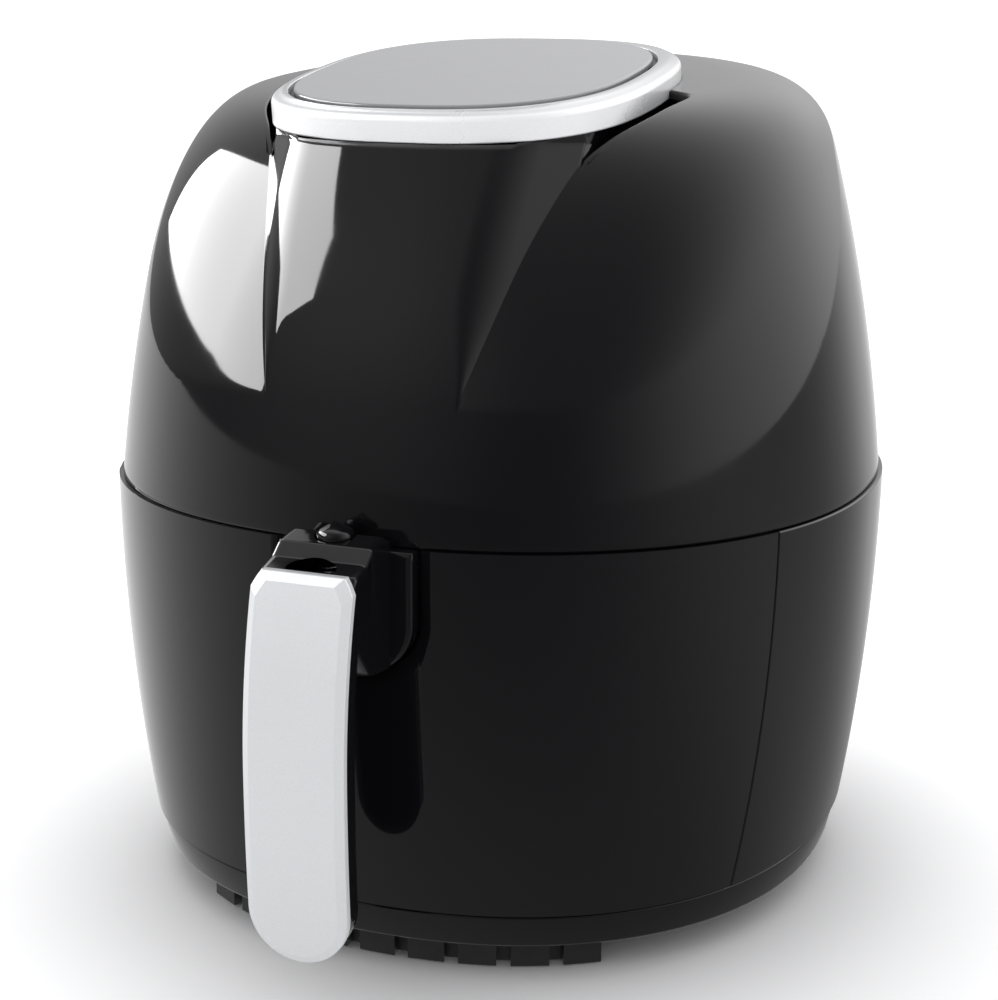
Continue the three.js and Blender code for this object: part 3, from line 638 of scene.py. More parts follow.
def slot_channel(before, rim, wall_foot, rim_t):
    """From the slot's outer rim over a fillet, down and across the slot's floor to the inner wall."""
    along = rim - before
    along /= np.linalg.norm(along, axis=1)[:, None]
    across = wall_foot - rim
    width = np.linalg.norm(across[:, :2], axis=1)
    fillet = np.minimum(1.6 * smoothstep(rim_t / 0.2), width * 0.35)
    rows = []
    for a in np.linspace(0, math.pi / 2, RIM_STEPS):
        ahead = along * (fillet * math.sin(a))[:, None]
        down = np.outer(fillet * (1 - math.cos(a)), [0, 0, -1])
        rows.append(rim + ahead + down)
    edge = rows[-1]
    floor_edge = edge + across * [0.06, 0.06, 0]
    floor_edge[:, 2] = np.minimum(rim[:, 2] - SLOT_DEPTH * smoothstep(rim_t / 0.3), edge[:, 2])
    for t in np.linspace(0, 1, WALL_STEPS)[1:]:
        rows.append(edge + (floor_edge - edge) * t)
    for t in np.linspace(0, 1, FLOOR_STEPS)[1:]:
        rows.append(floor_edge + (wall_foot - floor_edge) * t)
    return np.stack(rows)


def well_edge(before, rim):
    """Behind the slot the deck turns down round the ring's well."""
    radius, depth = 1.0, 5
    along = rim - before
    along /= np.linalg.norm(along, axis=1)[:, None]
    rows = []
    for a in np.linspace(0, math.pi / 2, RIM_STEPS):
        rows.append(rim + along * radius * math.sin(a) + [0, 0, -radius * (1 - math.cos(a))])
    rows.append(rows[-1] - [0, 0, depth])
    return np.stack(rows)


def upper_shell():
    even = np.linspace(0, 1, 61)
    rim_t = (smoothstep(even) + even) / 2
    rim_xy = slot_rim(rim_t)
    rim_theta = np.arctan2(rim_xy[:, 0], -rim_xy[:, 1])
    rim_theta = np.maximum.accumulate(rim_theta + np.arange(len(rim_t)) * 1e-4)
    rim_radius = np.hypot(rim_xy[:, 0], rim_xy[:, 1])

    front_x = neck_edge(NECK_START_Z) * np.concatenate([np.linspace(0, 0.8, 13), np.linspace(0.8, 1, 9)[1:]])
    front_y = body_front(front_x, NECK_START_Z)
    front = columns(np.arctan2(front_x, -front_y), above_neck_start)[:WALL_ROWS]
    front[-1] = np.stack([front_x, front_y, np.full(len(front_x), NECK_START_Z)], -1)

    crease = columns(np.linspace(np.arctan2(front_x[-1], -front_y[-1]), rim_theta[0], 31), in_neck)
    crease[:WALL_ROWS, 0] = front[:, -1]
    crease[WALL_ROWS:, 0] = front[-1, -1]

    step = np.hypot(*crease[-1, -1, :2]) - rim_radius[0]
    rim_radius = rim_radius + step * (1 - smoothstep(rim_t / 0.5))
    slot = columns(rim_theta, lambda path, k: rim_radius[k] - np.hypot(path[:, 0], path[:, 1]))
    slot[:, 0] = crease[:, -1]

    back = columns(np.linspace(rim_theta[-1], np.pi, 75), in_well)
    back[:, 0] = slot[:, -1]

    level_end = crease[-1, -1, 1] - neck_lean(crease[-1, -1, 2])
    level_rest = level_end + (rim_xy[-1, 1] + 0.6 - level_end) * rim_t
    neck = neck_grid(front_x)
    flat = flat_grid(crease[-1], level_end)
    flat[:, 0] = neck[:, -1]
    wall = slot_wall(flat[:, -1], level_rest, slot[-1], rim_t)
    flat[:, -1] = wall[:, 0]
    channel = slot_channel(slot[-2], slot[-1], wall[0], rim_t)

    sheet = Sheet()
    for part in (front, crease, slot, back):
        sheet.grid(with_lip(part))
    for part in (neck, flat, wall, channel, well_edge(back[-2], back[-1])):
        sheet.grid(part)
    return sheet.mirrored()


shell = piece("upper_shell", upper_shell(), "housing", "gloss_black", gloss_black, "upper_housing", weld=2e-5)
thicken(shell, 1.8)

EXHAUST = (-39.7, 39.7, 156.3, 188.7)


def prism(left, right, bottom, top, corner, front, back):
    """A block with rounded upright corners as seen from the front, cut into rows along y."""
    corners = [(left, bottom, corner), (right, bottom, corner), (right, top, corner), (left, top, corner)]
    outline = rounded(corners, 6)
    middle = outline.mean(0)
    rows = []
    for share, y in ((0, front), (1, front), (1, back), (0, back)):
        ring = middle + (outline - middle) * share
        rows.append(np.stack([ring[:, 0], np.full(len(ring), float(y)), ring[:, 1]], -1))
    return Sheet().grid(np.stack(rows), loop=True, flip=True)


cut(shell, cutter("exhaust_tool", prism(*EXHAUST, 3.5, 100, 175)))


# ------------------------ lower housing and drawer front
def parting_x(z, y):
    r = body_radius(z)
    return r * (1 - (abs(y) / (r * BODY_DEPTH_RATIO)) ** BODY_EXPONENT) ** (1 / BODY_EXPONENT)


def lower_shell():
    z = np.linspace(SEAM_Z + 0.3, SPLIT_Z - 0.35, 64)[:, None]
    face_y = DRAWER_FACE_Y + 0.25
    start = np.arctan2(parting_x(z, face_y), -face_y)
    theta = start + (np.pi - start) * np.linspace(0, 1, 110)[None, :]
    return Sheet().grid(polar(theta, body_radius(z) * section_factor(theta), z)).mirrored()


def notch_height(x, gap):
    """Height of the notch that the handle's tongue fills, at each x."""
    x = np.abs(x)
    radius = TONGUE_CORNER + gap
    centre = TONGUE_HALF_WIDTH - TONGUE_CORNER
    past = np.maximum(x - centre, 0)
    return TONGUE_BOTTOM + TONGUE_CORNER - np.sqrt(np.maximum(radius ** 2 - past ** 2, 0))


def notch_distance(x, z, gap):
    centre = TONGUE_HALF_WIDTH - TONGUE_CORNER
    dx = np.maximum(np.abs(x) - centre, 0)
    dz = np.maximum(TONGUE_BOTTOM + TONGUE_CORNER - z, 0)
    return np.hypot(dx, dz) - TONGUE_CORNER - gap


DISH_WIDTH = 4.2
DISH_DEPTH = 2.2
NOTCH_GAP = 0.5


def dished(x, z):
    distance = notch_distance(x, z, NOTCH_GAP)
    depth = DISH_DEPTH * np.clip(1 - distance / DISH_WIDTH, 0, 1) ** 1.5
    return np.stack([x, body_front(x, z) + depth, z], -1)


def drawer_shell():
    sheet = Sheet()
    bottom, top = SEAM_Z + 0.3, SPLIT_Z - 0.35
    face_y = DRAWER_FACE_Y - 0.25
    edge = TONGUE_HALF_WIDTH + NOTCH_GAP
    side_z = TONGUE_BOTTOM + TONGUE_CORNER
    t = np.concatenate([np.linspace(0, 0.92, 44), np.linspace(0.92, 1, 14)[1:]])[:, None]
    turn = np.linspace(0, np.pi / 2, 26)[1:]
    x = np.concatenate([np.linspace(0, 6, 7), 6 + (edge - 6) * np.sin(turn)])[None, :]
    z = bottom + (notch_height(x, NOTCH_GAP) - bottom) * t
    sheet.grid(dished(x + 0 * z, z))
    outward = np.concatenate([np.linspace(0, 5, 13), 5 + (np.linspace(0, 1, 64)[1:]) * 100])[None, :]
    for low, high, steps in ((bottom, side_z, t), (side_z, top, np.linspace(0, 1, 22)[:, None])):
        z = low + (high - low) * steps
        reach = parting_x(z, face_y) - edge
        share = np.where(outward < 5, outward, 5 + (outward - 5) / 100 * (reach - 5))
        sheet.grid(dished(edge + share, z + 0 * share))
    return sheet.mirrored()


lower = piece("lower_shell", lower_shell(), "housing", "gloss_black", gloss_black, "lower_housing")
soften(thicken(lower), 0.7)
drawer_face = piece("drawer_shell", drawer_shell(), "drawer", "gloss_black", gloss_black, "drawer_front")
soften(thicken(drawer_face), 0.6)


def turned_about_body(profile):
    """Sweeps a closed (radius, z) profile round the body's section."""
    theta = np.linspace(0, 2 * np.pi, RING_SIDES, endpoint=False)
    rows = [polar(theta, r * section_factor(theta), z) for r, z in profile]
    return Sheet().grid(np.stack(rows + rows[:1]), loop=True)


seam_radius = float(body_radius(SEAM_Z)) - 0.9
skirt_profile = rounded([(123.5, SKIRT_Z, 0.4), (126.7, SKIRT_Z, 1.6), (seam_radius, SEAM_Z - 0.35, 0.9),
                         (seam_radius - 3.4, SEAM_Z - 0.35, 0.4)])
piece("skirt", turned_about_body(skirt_profile), "housing", "gloss_black", gloss_black, "base_skirt")


# ------------------------ control panel
def turned_on_panel(profile, half_width, half_depth, exponent, shift=0.0):
    rows = [super_ring(half_width, half_depth, exponent, grow, shift, height) for grow, height in profile]
    return np.stack([on_panel(row) for row in rows])


def mixed_ring(outer_share, grow, height):
    """A ring between the glass seat's outline (0) and the bezel's outline (1)."""
    outer = super_ring(RING_HALF_WIDTH, RING_HALF_DEPTH, RING_EXPONENT, grow, 0, height)
    margin = SEAT_MARGIN + grow
    inner = super_ring(GLASS_HALF_WIDTH, GLASS_HALF_DEPTH, GLASS_EXPONENT, margin, GLASS_SHIFT, height)
    return on_panel(inner + (outer - inner) * outer_share)


bezel_rows = [mixed_ring(1, 0, h) for h in (0.3, 0.8)]
for a in np.linspace(0, 1, 9):
    turn = a * math.radians(62)
    bezel_rows.append(mixed_ring(1, -2.6 * (1 - math.cos(turn)) - 0.25 * a, 6.9 + 2.6 * math.sin(turn)))
bezel_rows += [mixed_ring(1, -3.3, 10.1), mixed_ring(0.35, -0.2, 10.75), mixed_ring(0, 0.55, RING_HEIGHT)]
for a in np.linspace(0, math.pi / 2, 5)[1:]:
    bezel_rows.append(mixed_ring(0, 0.55 * (1 - math.sin(a)), RING_HEIGHT - 0.55 * (1 - math.cos(a))))
bezel_rows += [mixed_ring(0, 0, 4), mixed_ring(0, 0, 0.3), mixed_ring(1, 0, 0.3)]
bezel_sheet = Sheet().grid(np.stack(bezel_rows), loop=True)
bezel = piece("bezel", bezel_sheet, "housing", "satin_silver", ring_silver, "bezel_ring")
flatten(bezel)

seat_profile = rounded([(-6.6, 6, 0.3), (1.4, 6, 0.3), (1.4, 9, 0.4), (-6.6, 9, 0.3)], 3)
seat_loop = [*seat_profile, seat_profile[0]]
seat_rows = turned_on_panel(seat_loop, GLASS_HALF_WIDTH, GLASS_HALF_DEPTH, GLASS_EXPONENT, GLASS_SHIFT)
piece("seat", Sheet().grid(seat_rows, loop=True), "housing", "matt_black", matt_black, "glass_seat")

GLASS_EDGE = 0.9
GLASS_MIDDLE = 0.01 - GLASS_HALF_WIDTH
glass_profile = [(GLASS_MIDDLE, 9.3), (-30, 9.3), (-0.3, 9.3), (0, 9.6)]
for a in np.linspace(0, math.pi / 2, 7):
    glass_profile.append((-GLASS_EDGE * (1 - math.cos(a)), GLASS_TOP - GLASS_EDGE * (1 - math.sin(a))))
glass_profile += [(-1.4, GLASS_TOP), (-5, GLASS_TOP), (-25, GLASS_TOP), (GLASS_MIDDLE, GLASS_TOP)]
glass_rows = []
for grow, height in glass_profile:
    scale = (GLASS_HALF_WIDTH + grow) / GLASS_HALF_WIDTH
    row = super_ring(GLASS_HALF_WIDTH, GLASS_HALF_DEPTH, GLASS_EXPONENT, 0, 0, height)
    row[:, :2] *= scale
    row[:, 1] += GLASS_SHIFT
    glass_rows.append(on_panel(row))
glass_sheet = Sheet().grid(np.stack(glass_rows), loop=True)
glass = piece("glass", glass_sheet, "housing", "panel_glass", panel_glass, "touch_glass", weld=3e-5)
flatten(glass)


# ------------------------ handle
def slab(outline, layers, bow=None, across=9):
    """A closed slab facing -Y. outline(inset) gives its right half, bottom to top; layers run to the back."""
    sheet = Sheet()
    bow = bow or (lambda z: 0 * z)

    def ring(inset, y):
        half = outline(inset)
        steps = np.linspace(1, -1, across)[1:-1]
        top = np.stack([half[-1, 0] * steps, np.full(len(steps), half[-1, 1])], -1)
        left = half[::-1] * [-1, 1]
        loop = np.vstack([half, top, left])
        return np.stack([loop[:, 0], y - bow(loop[:, 1]), loop[:, 1]], -1)

    def cap(inset, y):
        half = outline(inset)
        steps = np.linspace(-1, 1, across)
        x = half[:, :1] * steps
        z = half[:, 1:] + 0 * x
        return np.stack([x, y - bow(z), z], -1)

    sheet.grid(cap(*layers[0]))
    sheet.grid(np.stack([ring(*layer) for layer in layers]), flip=True)
    sheet.grid(cap(*layers[-1]), flip=True)
    return sheet


def grip_outline(half_width, bottom, top, clip):
    def outline(inset):
        half = half_width - inset
        turn = np.linspace(0, np.pi / 2, 18)
        foot = np.stack([half * np.sin(turn), bottom + inset + half * (1 - np.cos(turn))], -1)
        side = np.stack([np.full(20, half), np.linspace(bottom + half_width, top - inset - clip, 21)[1:]], -1)
        corner = [[half - clip * 0.3, top - inset - clip * 0.45], [half - clip * 0.62, top - inset]]
        return np.vstack([foot, side, corner])
    return outline


def grip_bow(z):
    middle = (HANDLE_BOTTOM_Z + HANDLE_TOP_Z) / 2
    lean = HANDLE_LEAN * (np.maximum(z - middle, 0) / (HANDLE_TOP_Z - middle)) ** 2
    return HANDLE_BOW * (1 - ((z - middle) / (HANDLE_TOP_Z - middle)) ** 2) - lean


def layers_from(front, layers):
    """(inset, y) layers, from (inset, distance behind the front) ones."""
    return [(inset, front + behind) for inset, behind in layers]


cover_layers = layers_from(HANDLE_FRONT_Y, [(2.6, 0), (0.15, 1.5), (0, 1.9), (0, 4)])
cover_outline = grip_outline(COVER_HALF_WIDTH, HANDLE_BOTTOM_Z, HANDLE_TOP_Z, 5)
cover_slab = slab(cover_outline, cover_layers, grip_bow)
cover = piece("grip_cover", cover_slab, "drawer", "satin_silver", silver, "handle_cover")
soften(cover, 0.35, 3, 12)

core_profile = [(0.5, 0), (0, 0.5), (0, 6), (0.4, 8), (1.6, 9.8), (3.6, 10.8), (6, 11)]
core_layers = layers_from(HANDLE_FRONT_Y + 4.3, core_profile)
core_outline = grip_outline(CORE_HALF_WIDTH, HANDLE_BOTTOM_Z + 0.8, HANDLE_TOP_Z - 1.5, 4)
core_slab = slab(core_outline, core_layers, grip_bow)
core = piece("grip_core", core_slab, "drawer", "matt_black", gloss_black_trim, "handle_core")
flatten(core)


def tongue_outline(inset):
    turn = np.linspace(0, np.pi / 2, 16)
    radius = TONGUE_CORNER - inset
    centre = TONGUE_HALF_WIDTH - TONGUE_CORNER
    middle = TONGUE_BOTTOM + TONGUE_CORNER
    start = np.stack([np.linspace(0, centre, 5)[:-1], np.full(4, TONGUE_BOTTOM + inset)], -1)
    arc = np.stack([centre + radius * np.sin(turn), middle - radius * np.cos(turn)], -1)
    side_z = np.linspace(middle, TONGUE_TOP - inset, 10)[1:]
    side = np.stack([np.full(9, TONGUE_HALF_WIDTH - inset), side_z], -1)
    return np.vstack([start, arc, side])


tongue_layers = [(2.2, -147.2), (1.0, -147.0), (0.3, -146.5), (0, -145.6), (0, -125.6)]
tongue_slab = slab(tongue_outline, tongue_layers)
tongue = piece("bracket_tongue", tongue_slab, "drawer", "gloss_black", gloss_black_trim)
flatten(tongue)


def arm():
    """The arm's side profile swept across its width, with its flanks rounded over."""
    corners = [(-146.4, 112, 2), (-146.4, 153.4, 3), (-150.5, 156.2, 3), (-160.5, 154.8, 3), (-166, 151, 3),
               (-173.4, 148.9, 2.2), (-175.6, 146, 1.5), (-175.6, 128, 4), (-163, 114, 9)]
    path = rounded(corners, 6)
    centre = path.mean(0)
    rows = []
    flank = [(13.8, 0), (15, 0.1), (15.7, 0.55), (16, 1.4)]
    for x, inset in [*[(-x, inset) for x, inset in flank[::-1]], (0, 0), *flank]:
        toward = centre - path
        toward /= np.linalg.norm(toward, axis=1)[:, None]
        ring = path + toward * inset
        rows.append(np.stack([np.full(len(ring), float(x)), ring[:, 0], ring[:, 1]], -1))
    sheet = Sheet().grid(np.stack(rows), loop=True, flip=True)
    for row, flip in ((rows[0], True), (rows[-1], False)):
        inner = row.mean(0)
        fan = np.stack([row, np.repeat(inner[None], len(row), 0)])
        sheet.grid(fan, loop=True, flip=flip)
    return sheet


def ball(centre, radii, rows=24, sides=40):
    up = np.linspace(-np.pi / 2, np.pi / 2, rows)[:, None]
    turn = np.linspace(0, 2 * np.pi, sides, endpoint=False)[None, :]
    unit = np.stack([np.cos(up) * np.sin(turn), -np.cos(up) * np.cos(turn), np.sin(up) + 0 * turn], -1)
    return Sheet().grid(unit * radii + centre, loop=True)


def lathe(profile, centre, sides=64):
    turn = np.linspace(0, 2 * np.pi, sides, endpoint=False)
    rows = []
    for radius, z in profile:
        circle = np.stack([radius * np.sin(turn), -radius * np.cos(turn), np.full(sides, float(z))], -1)
        rows.append(circle + [*centre, 0])
    return Sheet().grid(np.stack(rows), loop=True)


arm_piece = piece("bracket_arm", arm(), "drawer", "gloss_black", gloss_black_trim, "handle_bracket")
thumb = cutter("thumb_tool", ball((0, -171.5, 150.6), (8.5, 6.5, 5)))
bore = cutter("bore_tool", lathe([(0.01, 140), (6.6, 140), (6.6, 170), (0.01, 170)], (0, BUTTON_Y)))
cut(arm_piece, thumb, bore)
soften(arm_piece, 0.5, 3, 35)

stem = [(0.01, 140, 0), (2, 140, 0.3), (2, 148, 0.3)]
cap = [(6, 148, 0.4), (6, 157.2, 2.4), (0.01, 160.6, 0)]
button_sheet = lathe(rounded(stem + cap, 7, closed=False), (0, BUTTON_Y))
button = piece("button_cap", button_sheet, "button", "gloss_black", gloss_black_trim, "release_button",
               weld=2e-5)
flatten(button)


# ------------------------ pan and basket
VESSEL_SIDES = 200
VESSEL_SHEET = 1.2
PAN_SHAPE = (92, -120, 86, 40)  # half width, front, back and corner radius
BASKET_SHAPE = (88, -115, 82, 37)
VENT_PITCH = 15
VENT_RADIUS = 4.6
VENT_FIELD = (70, 86)  # half axes of the oval that the vents fill
VENT_FIELD_Y = -16


def vessel_ring(half_width, front, back, corner, grow, z, steps=14):
    """A rounded rectangle, listed from its front right corner round the back to the front left one."""
    points = []
    radius = max(corner + grow, 0.5)
    centres = [(half_width - corner, front + corner, -90), (half_width - corner, back - corner, 0),
               (-half_width + corner, back - corner, 90), (-half_width + corner, front + corner, 180)]
    for cx, cy, start in centres:
        for a in np.radians(np.linspace(start, start + 90, steps)):
            points.append([cx + radius * math.cos(a), cy + radius * math.sin(a)])
    loop = np.array(points)
    closed = np.vstack([loop, loop[:1]])
    length = along_path(closed)
    at = np.linspace(0, length[-1], VESSEL_SIDES + 1)[:-1]
    loop = np.stack([np.interp(at, length, closed[:, k]) for k in (0, 1)], -1)
    return np.column_stack([loop, np.full(len(loop), float(z))])


def vessel(shape, bottom, top, taper, rim, floor_radius=14):
    """A deep-drawn tub: outer wall, rolled rim, inner wall and floor, as one closed skin."""
    half_width, front, back, corner = shape
    wall_bottom = bottom + floor_radius
    wall_top = top - 2
    turns = np.linspace(0, math.pi / 2, 8)
    shares = np.linspace(0, 1, 8)[1:]
    profile = [(-taper - floor_radius, bottom)]
    for a in turns[1:]:
        profile.append((-taper - floor_radius * (1 - math.sin(a)), bottom + floor_radius * (1 - math.cos(a))))
    for t in shares:
        profile.append((-taper * (1 - t), wall_bottom + (wall_top - wall_bottom) * t))
    lip = [(0.4, -0.6), (1.4, 0), (rim - 1.0, 0), (rim - 0.3, -0.3), (rim, 0.4), (rim - 0.3, 1.0)]
    lip += [(rim - 1.0, 1.2), (0.8, 1.2), (-0.6, 0.6), (-1.2, -0.8)]
    profile += [(grow, top + rise) for grow, rise in lip]
    for t in 1 - shares:
        profile.append((-taper * (1 - t) - VESSEL_SHEET, wall_bottom + (wall_top - wall_bottom) * t))
    inner = floor_radius - VESSEL_SHEET
    for a in turns[-2::-1]:
        grow = -taper - VESSEL_SHEET - inner * (1 - math.sin(a))
        profile.append((grow, bottom + VESSEL_SHEET + inner * (1 - math.cos(a))))
    return [vessel_ring(half_width, front, back, corner, grow, z) for grow, z in profile]


def tub(shape, bottom, top, taper, rim):
    rows = vessel(shape, bottom, top, taper, rim)
    sheet = Sheet().grid(np.stack(rows), loop=True)
    for row, flip in ((rows[0], False), (rows[-1], True)):
        middle = row.mean(0)
        rings = np.stack([middle + (row - middle) * t for t in np.linspace(0.0, 1, 8)])
        sheet.grid(rings, loop=True, flip=flip)
    return sheet


pan_sheet = tub(PAN_SHAPE, 33, 139, 8, 5)
pan = piece("pan_tub", pan_sheet, "drawer", "nonstick_coating", nonstick, "pan", weld=3e-5)
flatten(pan)
basket_sheet = tub(BASKET_SHAPE, 44, 140.5, 9, 5.5)
basket = piece("basket_tub", basket_sheet, "drawer", "nonstick_coating", nonstick, "basket", weld=3e-5)
vents = Sheet()
for x in range(-60, 61, VENT_PITCH):
    for y in range(-91, 60, VENT_PITCH):
        if math.hypot(x / VENT_FIELD[0], (y - VENT_FIELD_Y) / VENT_FIELD[1]) > 1:
            continue
        hole = lathe([(0.01, 38), (VENT_RADIUS, 38), (VENT_RADIUS, 52), (0.01, 52)], (x, y), 20)
        for points, faces in zip(hole.points, hole.faces):
            vents.points.append(points)
            vents.faces.append(faces + vents.count)
            vents.count += len(points)
cut(basket, cutter("vent_tool", vents))
basket.data.shade_smooth()
basket.data.set_sharp_from_angle(angle=math.radians(40))


# ------------------------ carried-over CAD nodes
def smooth_group():
    """Geometry nodes that weld a CAD mesh and keep only its hard edges sharp."""
    group = bpy.data.node_groups.new("smooth_by_angle", "GeometryNodeTree")
    group.interface.new_socket("Geometry", in_out="INPUT", socket_type="NodeSocketGeometry")
    group.interface.new_socket("Geometry", in_out="OUTPUT", socket_type="NodeSocketGeometry")
    nodes, links = group.nodes, group.links
    start = nodes.new("NodeGroupInput")
    weld = nodes.new("GeometryNodeMergeByDistance")
    weld.inputs["Distance"].default_value = 1e-6
    angle = nodes.new("GeometryNodeInputMeshEdgeAngle")
    hard = nodes.new("FunctionNodeCompare")
    hard.data_type = "FLOAT"
    hard.operation = "LESS_THAN"
    hard.inputs[1].default_value = math.radians(33)
    faces = nodes.new("GeometryNodeSetShadeSmooth")
    edges = nodes.new("GeometryNodeSetShadeSmooth")
    edges.domain = "EDGE"
    end = nodes.new("NodeGroupOutput")
    links.new(start.outputs[0], weld.inputs[0])
    links.new(weld.outputs[0], faces.inputs[0])
    links.new(faces.outputs[0], edges.inputs[0])
    links.new(angle.outputs["Unsigned Angle"], hard.inputs[0])
    links.new(hard.outputs[0], edges.inputs["Shade Smooth"])
    links.new(edges.outputs[0], end.inputs[0])
    return group


FINISHES = {
    "gloss_black": gloss_black,
    "matt_black": matt_black,
    "satin_silver": silver,
    "pressed_steel": steel,
    "spring_steel": spring,
    "nonstick_coating": nonstick,
    "heater_sheath": heater_sheath,
    "rubber": rubber,
    "copper": copper,
    "aluminium": aluminium,
    "circuit_board": board,
    "white_plastic": white_plastic,
    "panel_glass": panel_glass,
}
smoothing = smooth_group()
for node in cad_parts.values():
    if node.hide_render:
        continue
    slot = node.data.materials[0].name
    node.data.materials[0] = FINISHES[slot]
    modifier = node.modifiers.new("smooth", "NODES")
    modifier.node_group = smoothing
    soften(node, 0.3, 2, 40)


# ------------------------ camera
AZIMUTH, ELEVATION, ROLL = math.radians(20.4), math.radians(13.8), math.radians(0.53)
DISTANCE = 0.750
TARGET = Vector((0, AXIS_Y, 0.160))
FRAME_SHIFT = (0.003, 0.0269)  # how far the eye moves left and down, in metres
SENSOR = 36
level = math.cos(ELEVATION)
back = Vector((math.sin(AZIMUTH) * level, -math.cos(AZIMUTH) * level, math.sin(ELEVATION)))
right = Vector((math.cos(AZIMUTH), math.sin(AZIMUTH), 0))
up = back.cross(right)
rolled_right = right * math.cos(ROLL) + up * math.sin(ROLL)
rolled_up = up * math.cos(ROLL) - right * math.sin(ROLL)
eye = TARGET + back * DISTANCE - rolled_right * FRAME_SHIFT[0] - rolled_up * FRAME_SHIFT[1]
camera_data = bpy.data.cameras.new("camera")
camera_data.lens = SENSOR * 1.971
camera_data.sensor_width = SENSOR
camera = bpy.data.objects.new("camera", camera_data)
bpy.context.scene.collection.objects.link(camera)
camera.matrix_world = Matrix((
    (rolled_right.x, rolled_up.x, back.x, eye.x),
    (rolled_right.y, rolled_up.y, back.y, eye.y),
    (rolled_right.z, rolled_up.z, back.z, eye.z),
    (0, 0, 0, 1),
))
camera_data.clip_end = 100
bpy.context.scene.camera = camera

# ------------------------ floor and light
def direction(azimuth, elevation):
    """Unit vector at an azimuth from the front towards +X, and an elevation, in degrees."""
    a, e = math.radians(azimuth), math.radians(elevation)
    return math.sin(a) * math.cos(e), -math.cos(a) * math.cos(e), math.sin(e)


def lobes(tree, vector, entries, sharpness):
    """Sum of soft bright patches of (azimuth, elevation, strength), seen along a direction vector."""
    total = None
    for azimuth, elevation, strength in entries:
        dot = tree.nodes.new("ShaderNodeVectorMath")
        dot.operation = "DOT_PRODUCT"
        dot.inputs[1].default_value = direction(azimuth, elevation)
        tree.links.new(vector, dot.inputs[0])
        power = tree.nodes.new("ShaderNodeMath")
        power.operation = "POWER"
        power.inputs[0].default_value = math.exp(sharpness)
        tree.links.new(dot.outputs["Value"], power.inputs[1])
        scaled = tree.nodes.new("ShaderNodeMath")
        scaled.operation = "MULTIPLY_ADD"
        scaled.inputs[1].default_value = strength * math.exp(-sharpness)
        tree.links.new(power.outputs[0], scaled.inputs[0])
        if total is None:
            scaled.inputs[2].default_value = 0.02
        else:
            tree.links.new(total, scaled.inputs[2])
        total = scaled.outputs[0]
    return total


floor_mesh = bpy.data.meshes.new("floor")
FLOOR_HALF = 30
floor_corners = [(-FLOOR_HALF, -FLOOR_HALF, 0), (FLOOR_HALF, -FLOOR_HALF, 0), (FLOOR_HALF, FLOOR_HALF, 0),
                 (-FLOOR_HALF, FLOOR_HALF, 0)]
floor_mesh.from_pydata(floor_corners, [], [(0, 1, 2, 3)])
floor = bpy.data.objects.new("floor", floor_mesh)
bpy.context.scene.collection.objects.link(floor)
floor_material = shader("floor_paper", (0.9, 0.9, 0.905), 0.7)
vary_roughness(floor_material, noise(floor_material, 12, 2), 0.62, 0.78)
tree = floor_material.node_tree
position = tree.nodes.new("ShaderNodeNewGeometry").outputs["Position"]
from_centre = tree.nodes.new("ShaderNodeVectorMath")
from_centre.operation = "SUBTRACT"
from_centre.inputs[1].default_value = (0, 0, 0.15)
unit = tree.nodes.new("ShaderNodeVectorMath")
unit.operation = "NORMALIZE"
tree.links.new(position, from_centre.inputs[0])
tree.links.new(from_centre.outputs[0], unit.inputs[0])
# Painted reflection: in reflections the floor shows glowing soft patches in place of the lit paper.
glow = tree.nodes.new("ShaderNodeEmission")
tree.links.new(lobes(tree, unit.outputs[0], FLOOR_LOBES, FLOOR_SHARPNESS), glow.inputs["Strength"])
swap = tree.nodes.new("ShaderNodeMixShader")
tree.links.new(tree.nodes.new("ShaderNodeLightPath").outputs["Is Glossy Ray"], swap.inputs[0])
tree.links.new(tree.nodes["Principled BSDF"].outputs[0], swap.inputs[1])
tree.links.new(glow.outputs[0], swap.inputs[2])
tree.links.new(swap.outputs[0], tree.nodes["Material Output"].inputs["Surface"])
# Painted light: the paper glows more the farther it lies from the body, so near the base it stays darker as a
# painted shadow.
distance = tree.nodes.new("ShaderNodeVectorMath")
distance.operation = "LENGTH"
tree.links.new(from_centre.outputs[0], distance.inputs[0])
bsdf = tree.nodes["Principled BSDF"]
bsdf.inputs["Emission Color"].default_value = (1, 1, 1, 1)
backdrop_glow = spread(floor_material, distance.outputs["Value"], 0, 0.45, 0.19, 0.36)
tree.links.new(backdrop_glow, bsdf.inputs["Emission Strength"])
floor_mesh.materials.append(floor_material)

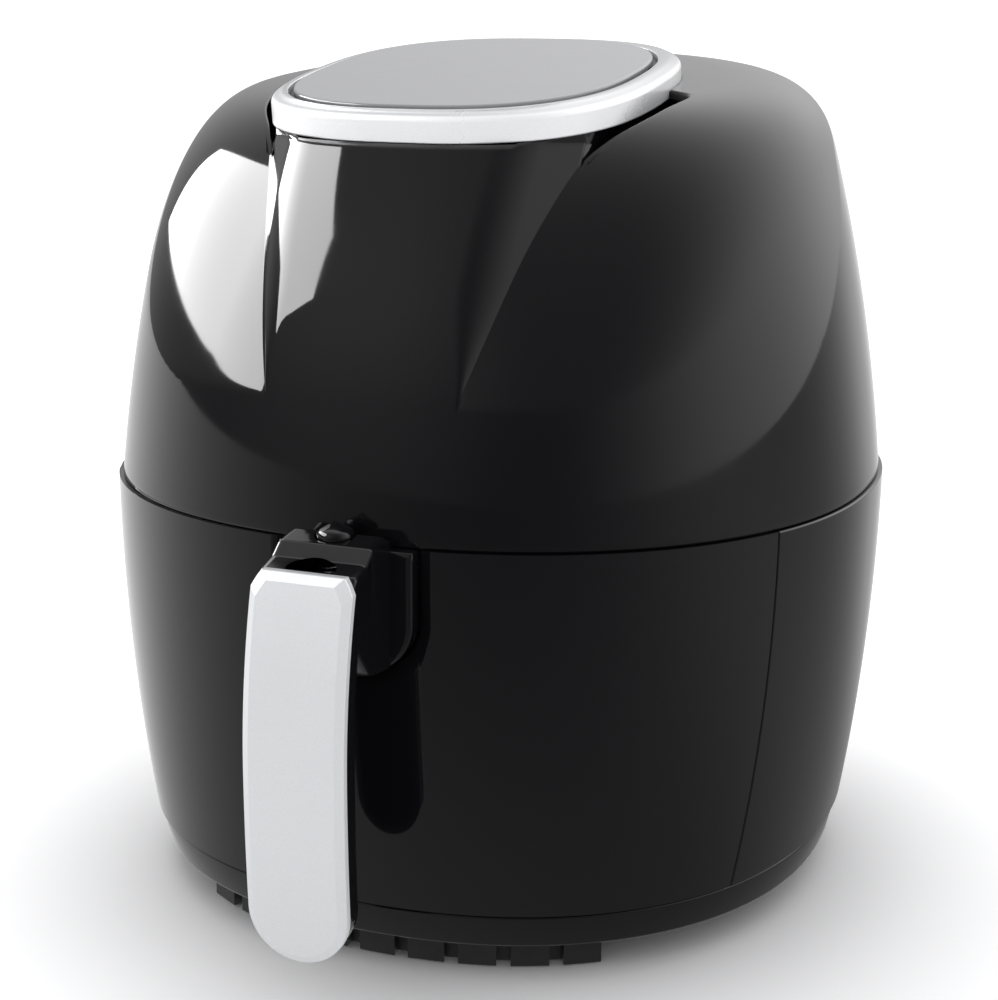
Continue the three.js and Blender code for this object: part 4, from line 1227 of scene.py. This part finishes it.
world = bpy.data.worlds.new("studio")
bpy.context.scene.world = world
world.use_nodes = True
tree = world.node_tree
background = tree.nodes["Background"]
background.inputs["Color"].default_value = (1, 1, 1.01, 1)
path = tree.nodes.new("ShaderNodeLightPath")
view = tree.nodes.new("ShaderNodeTexCoord").outputs["Generated"]
seen = tree.nodes.new("ShaderNodeMix")
seen.data_type = "FLOAT"
tree.links.new(path.outputs["Is Glossy Ray"], seen.inputs["Factor"])
seen.inputs["A"].default_value = SKY
tree.links.new(lobes(tree, view, ROOM_LOBES, ROOM_SHARPNESS), seen.inputs["B"])
straight = tree.nodes.new("ShaderNodeMix")
straight.data_type = "FLOAT"
tree.links.new(path.outputs["Is Camera Ray"], straight.inputs["Factor"])
tree.links.new(seen.outputs["Result"], straight.inputs["A"])
straight.inputs["B"].default_value = 1.1
tree.links.new(straight.outputs["Result"], background.inputs["Strength"])


top_data = bpy.data.lights.new("top", "AREA")
top_data.size = 1.6
top_data.energy = 14
top_light = bpy.data.objects.new("top", top_data)
bpy.context.scene.collection.objects.link(top_light)
top_light.location = (-0.2, 0.3, 1.8)
top_aim = top_light.location - Vector((0, 0, 0.1))
top_light.rotation_euler = top_aim.to_track_quat("Z", "Y").to_euler()
top_light.visible_glossy = False

# The window-like softbox at the left, seen only in reflections.
softbox_mesh = bpy.data.meshes.new("softbox")
softbox_mesh.from_pydata([(SOFTBOX_X, y, z) for y, z in SOFTBOX], [], [tuple(range(len(SOFTBOX)))])
softbox = bpy.data.objects.new("softbox", softbox_mesh)
bpy.context.scene.collection.objects.link(softbox)
softbox_material = bpy.data.materials.new("softbox_glow")
softbox_material.use_nodes = True
tree = softbox_material.node_tree
tree.nodes.remove(tree.nodes["Principled BSDF"])
glow = tree.nodes.new("ShaderNodeEmission")
glow.inputs["Strength"].default_value = SOFTBOX_STRENGTH
tree.links.new(glow.outputs[0], tree.nodes["Material Output"].inputs["Surface"])
softbox_mesh.materials.append(softbox_material)
softbox.visible_camera = False
softbox.visible_diffuse = False
softbox.visible_shadow = False

bpy.context.scene.view_settings.view_transform = "Standard"
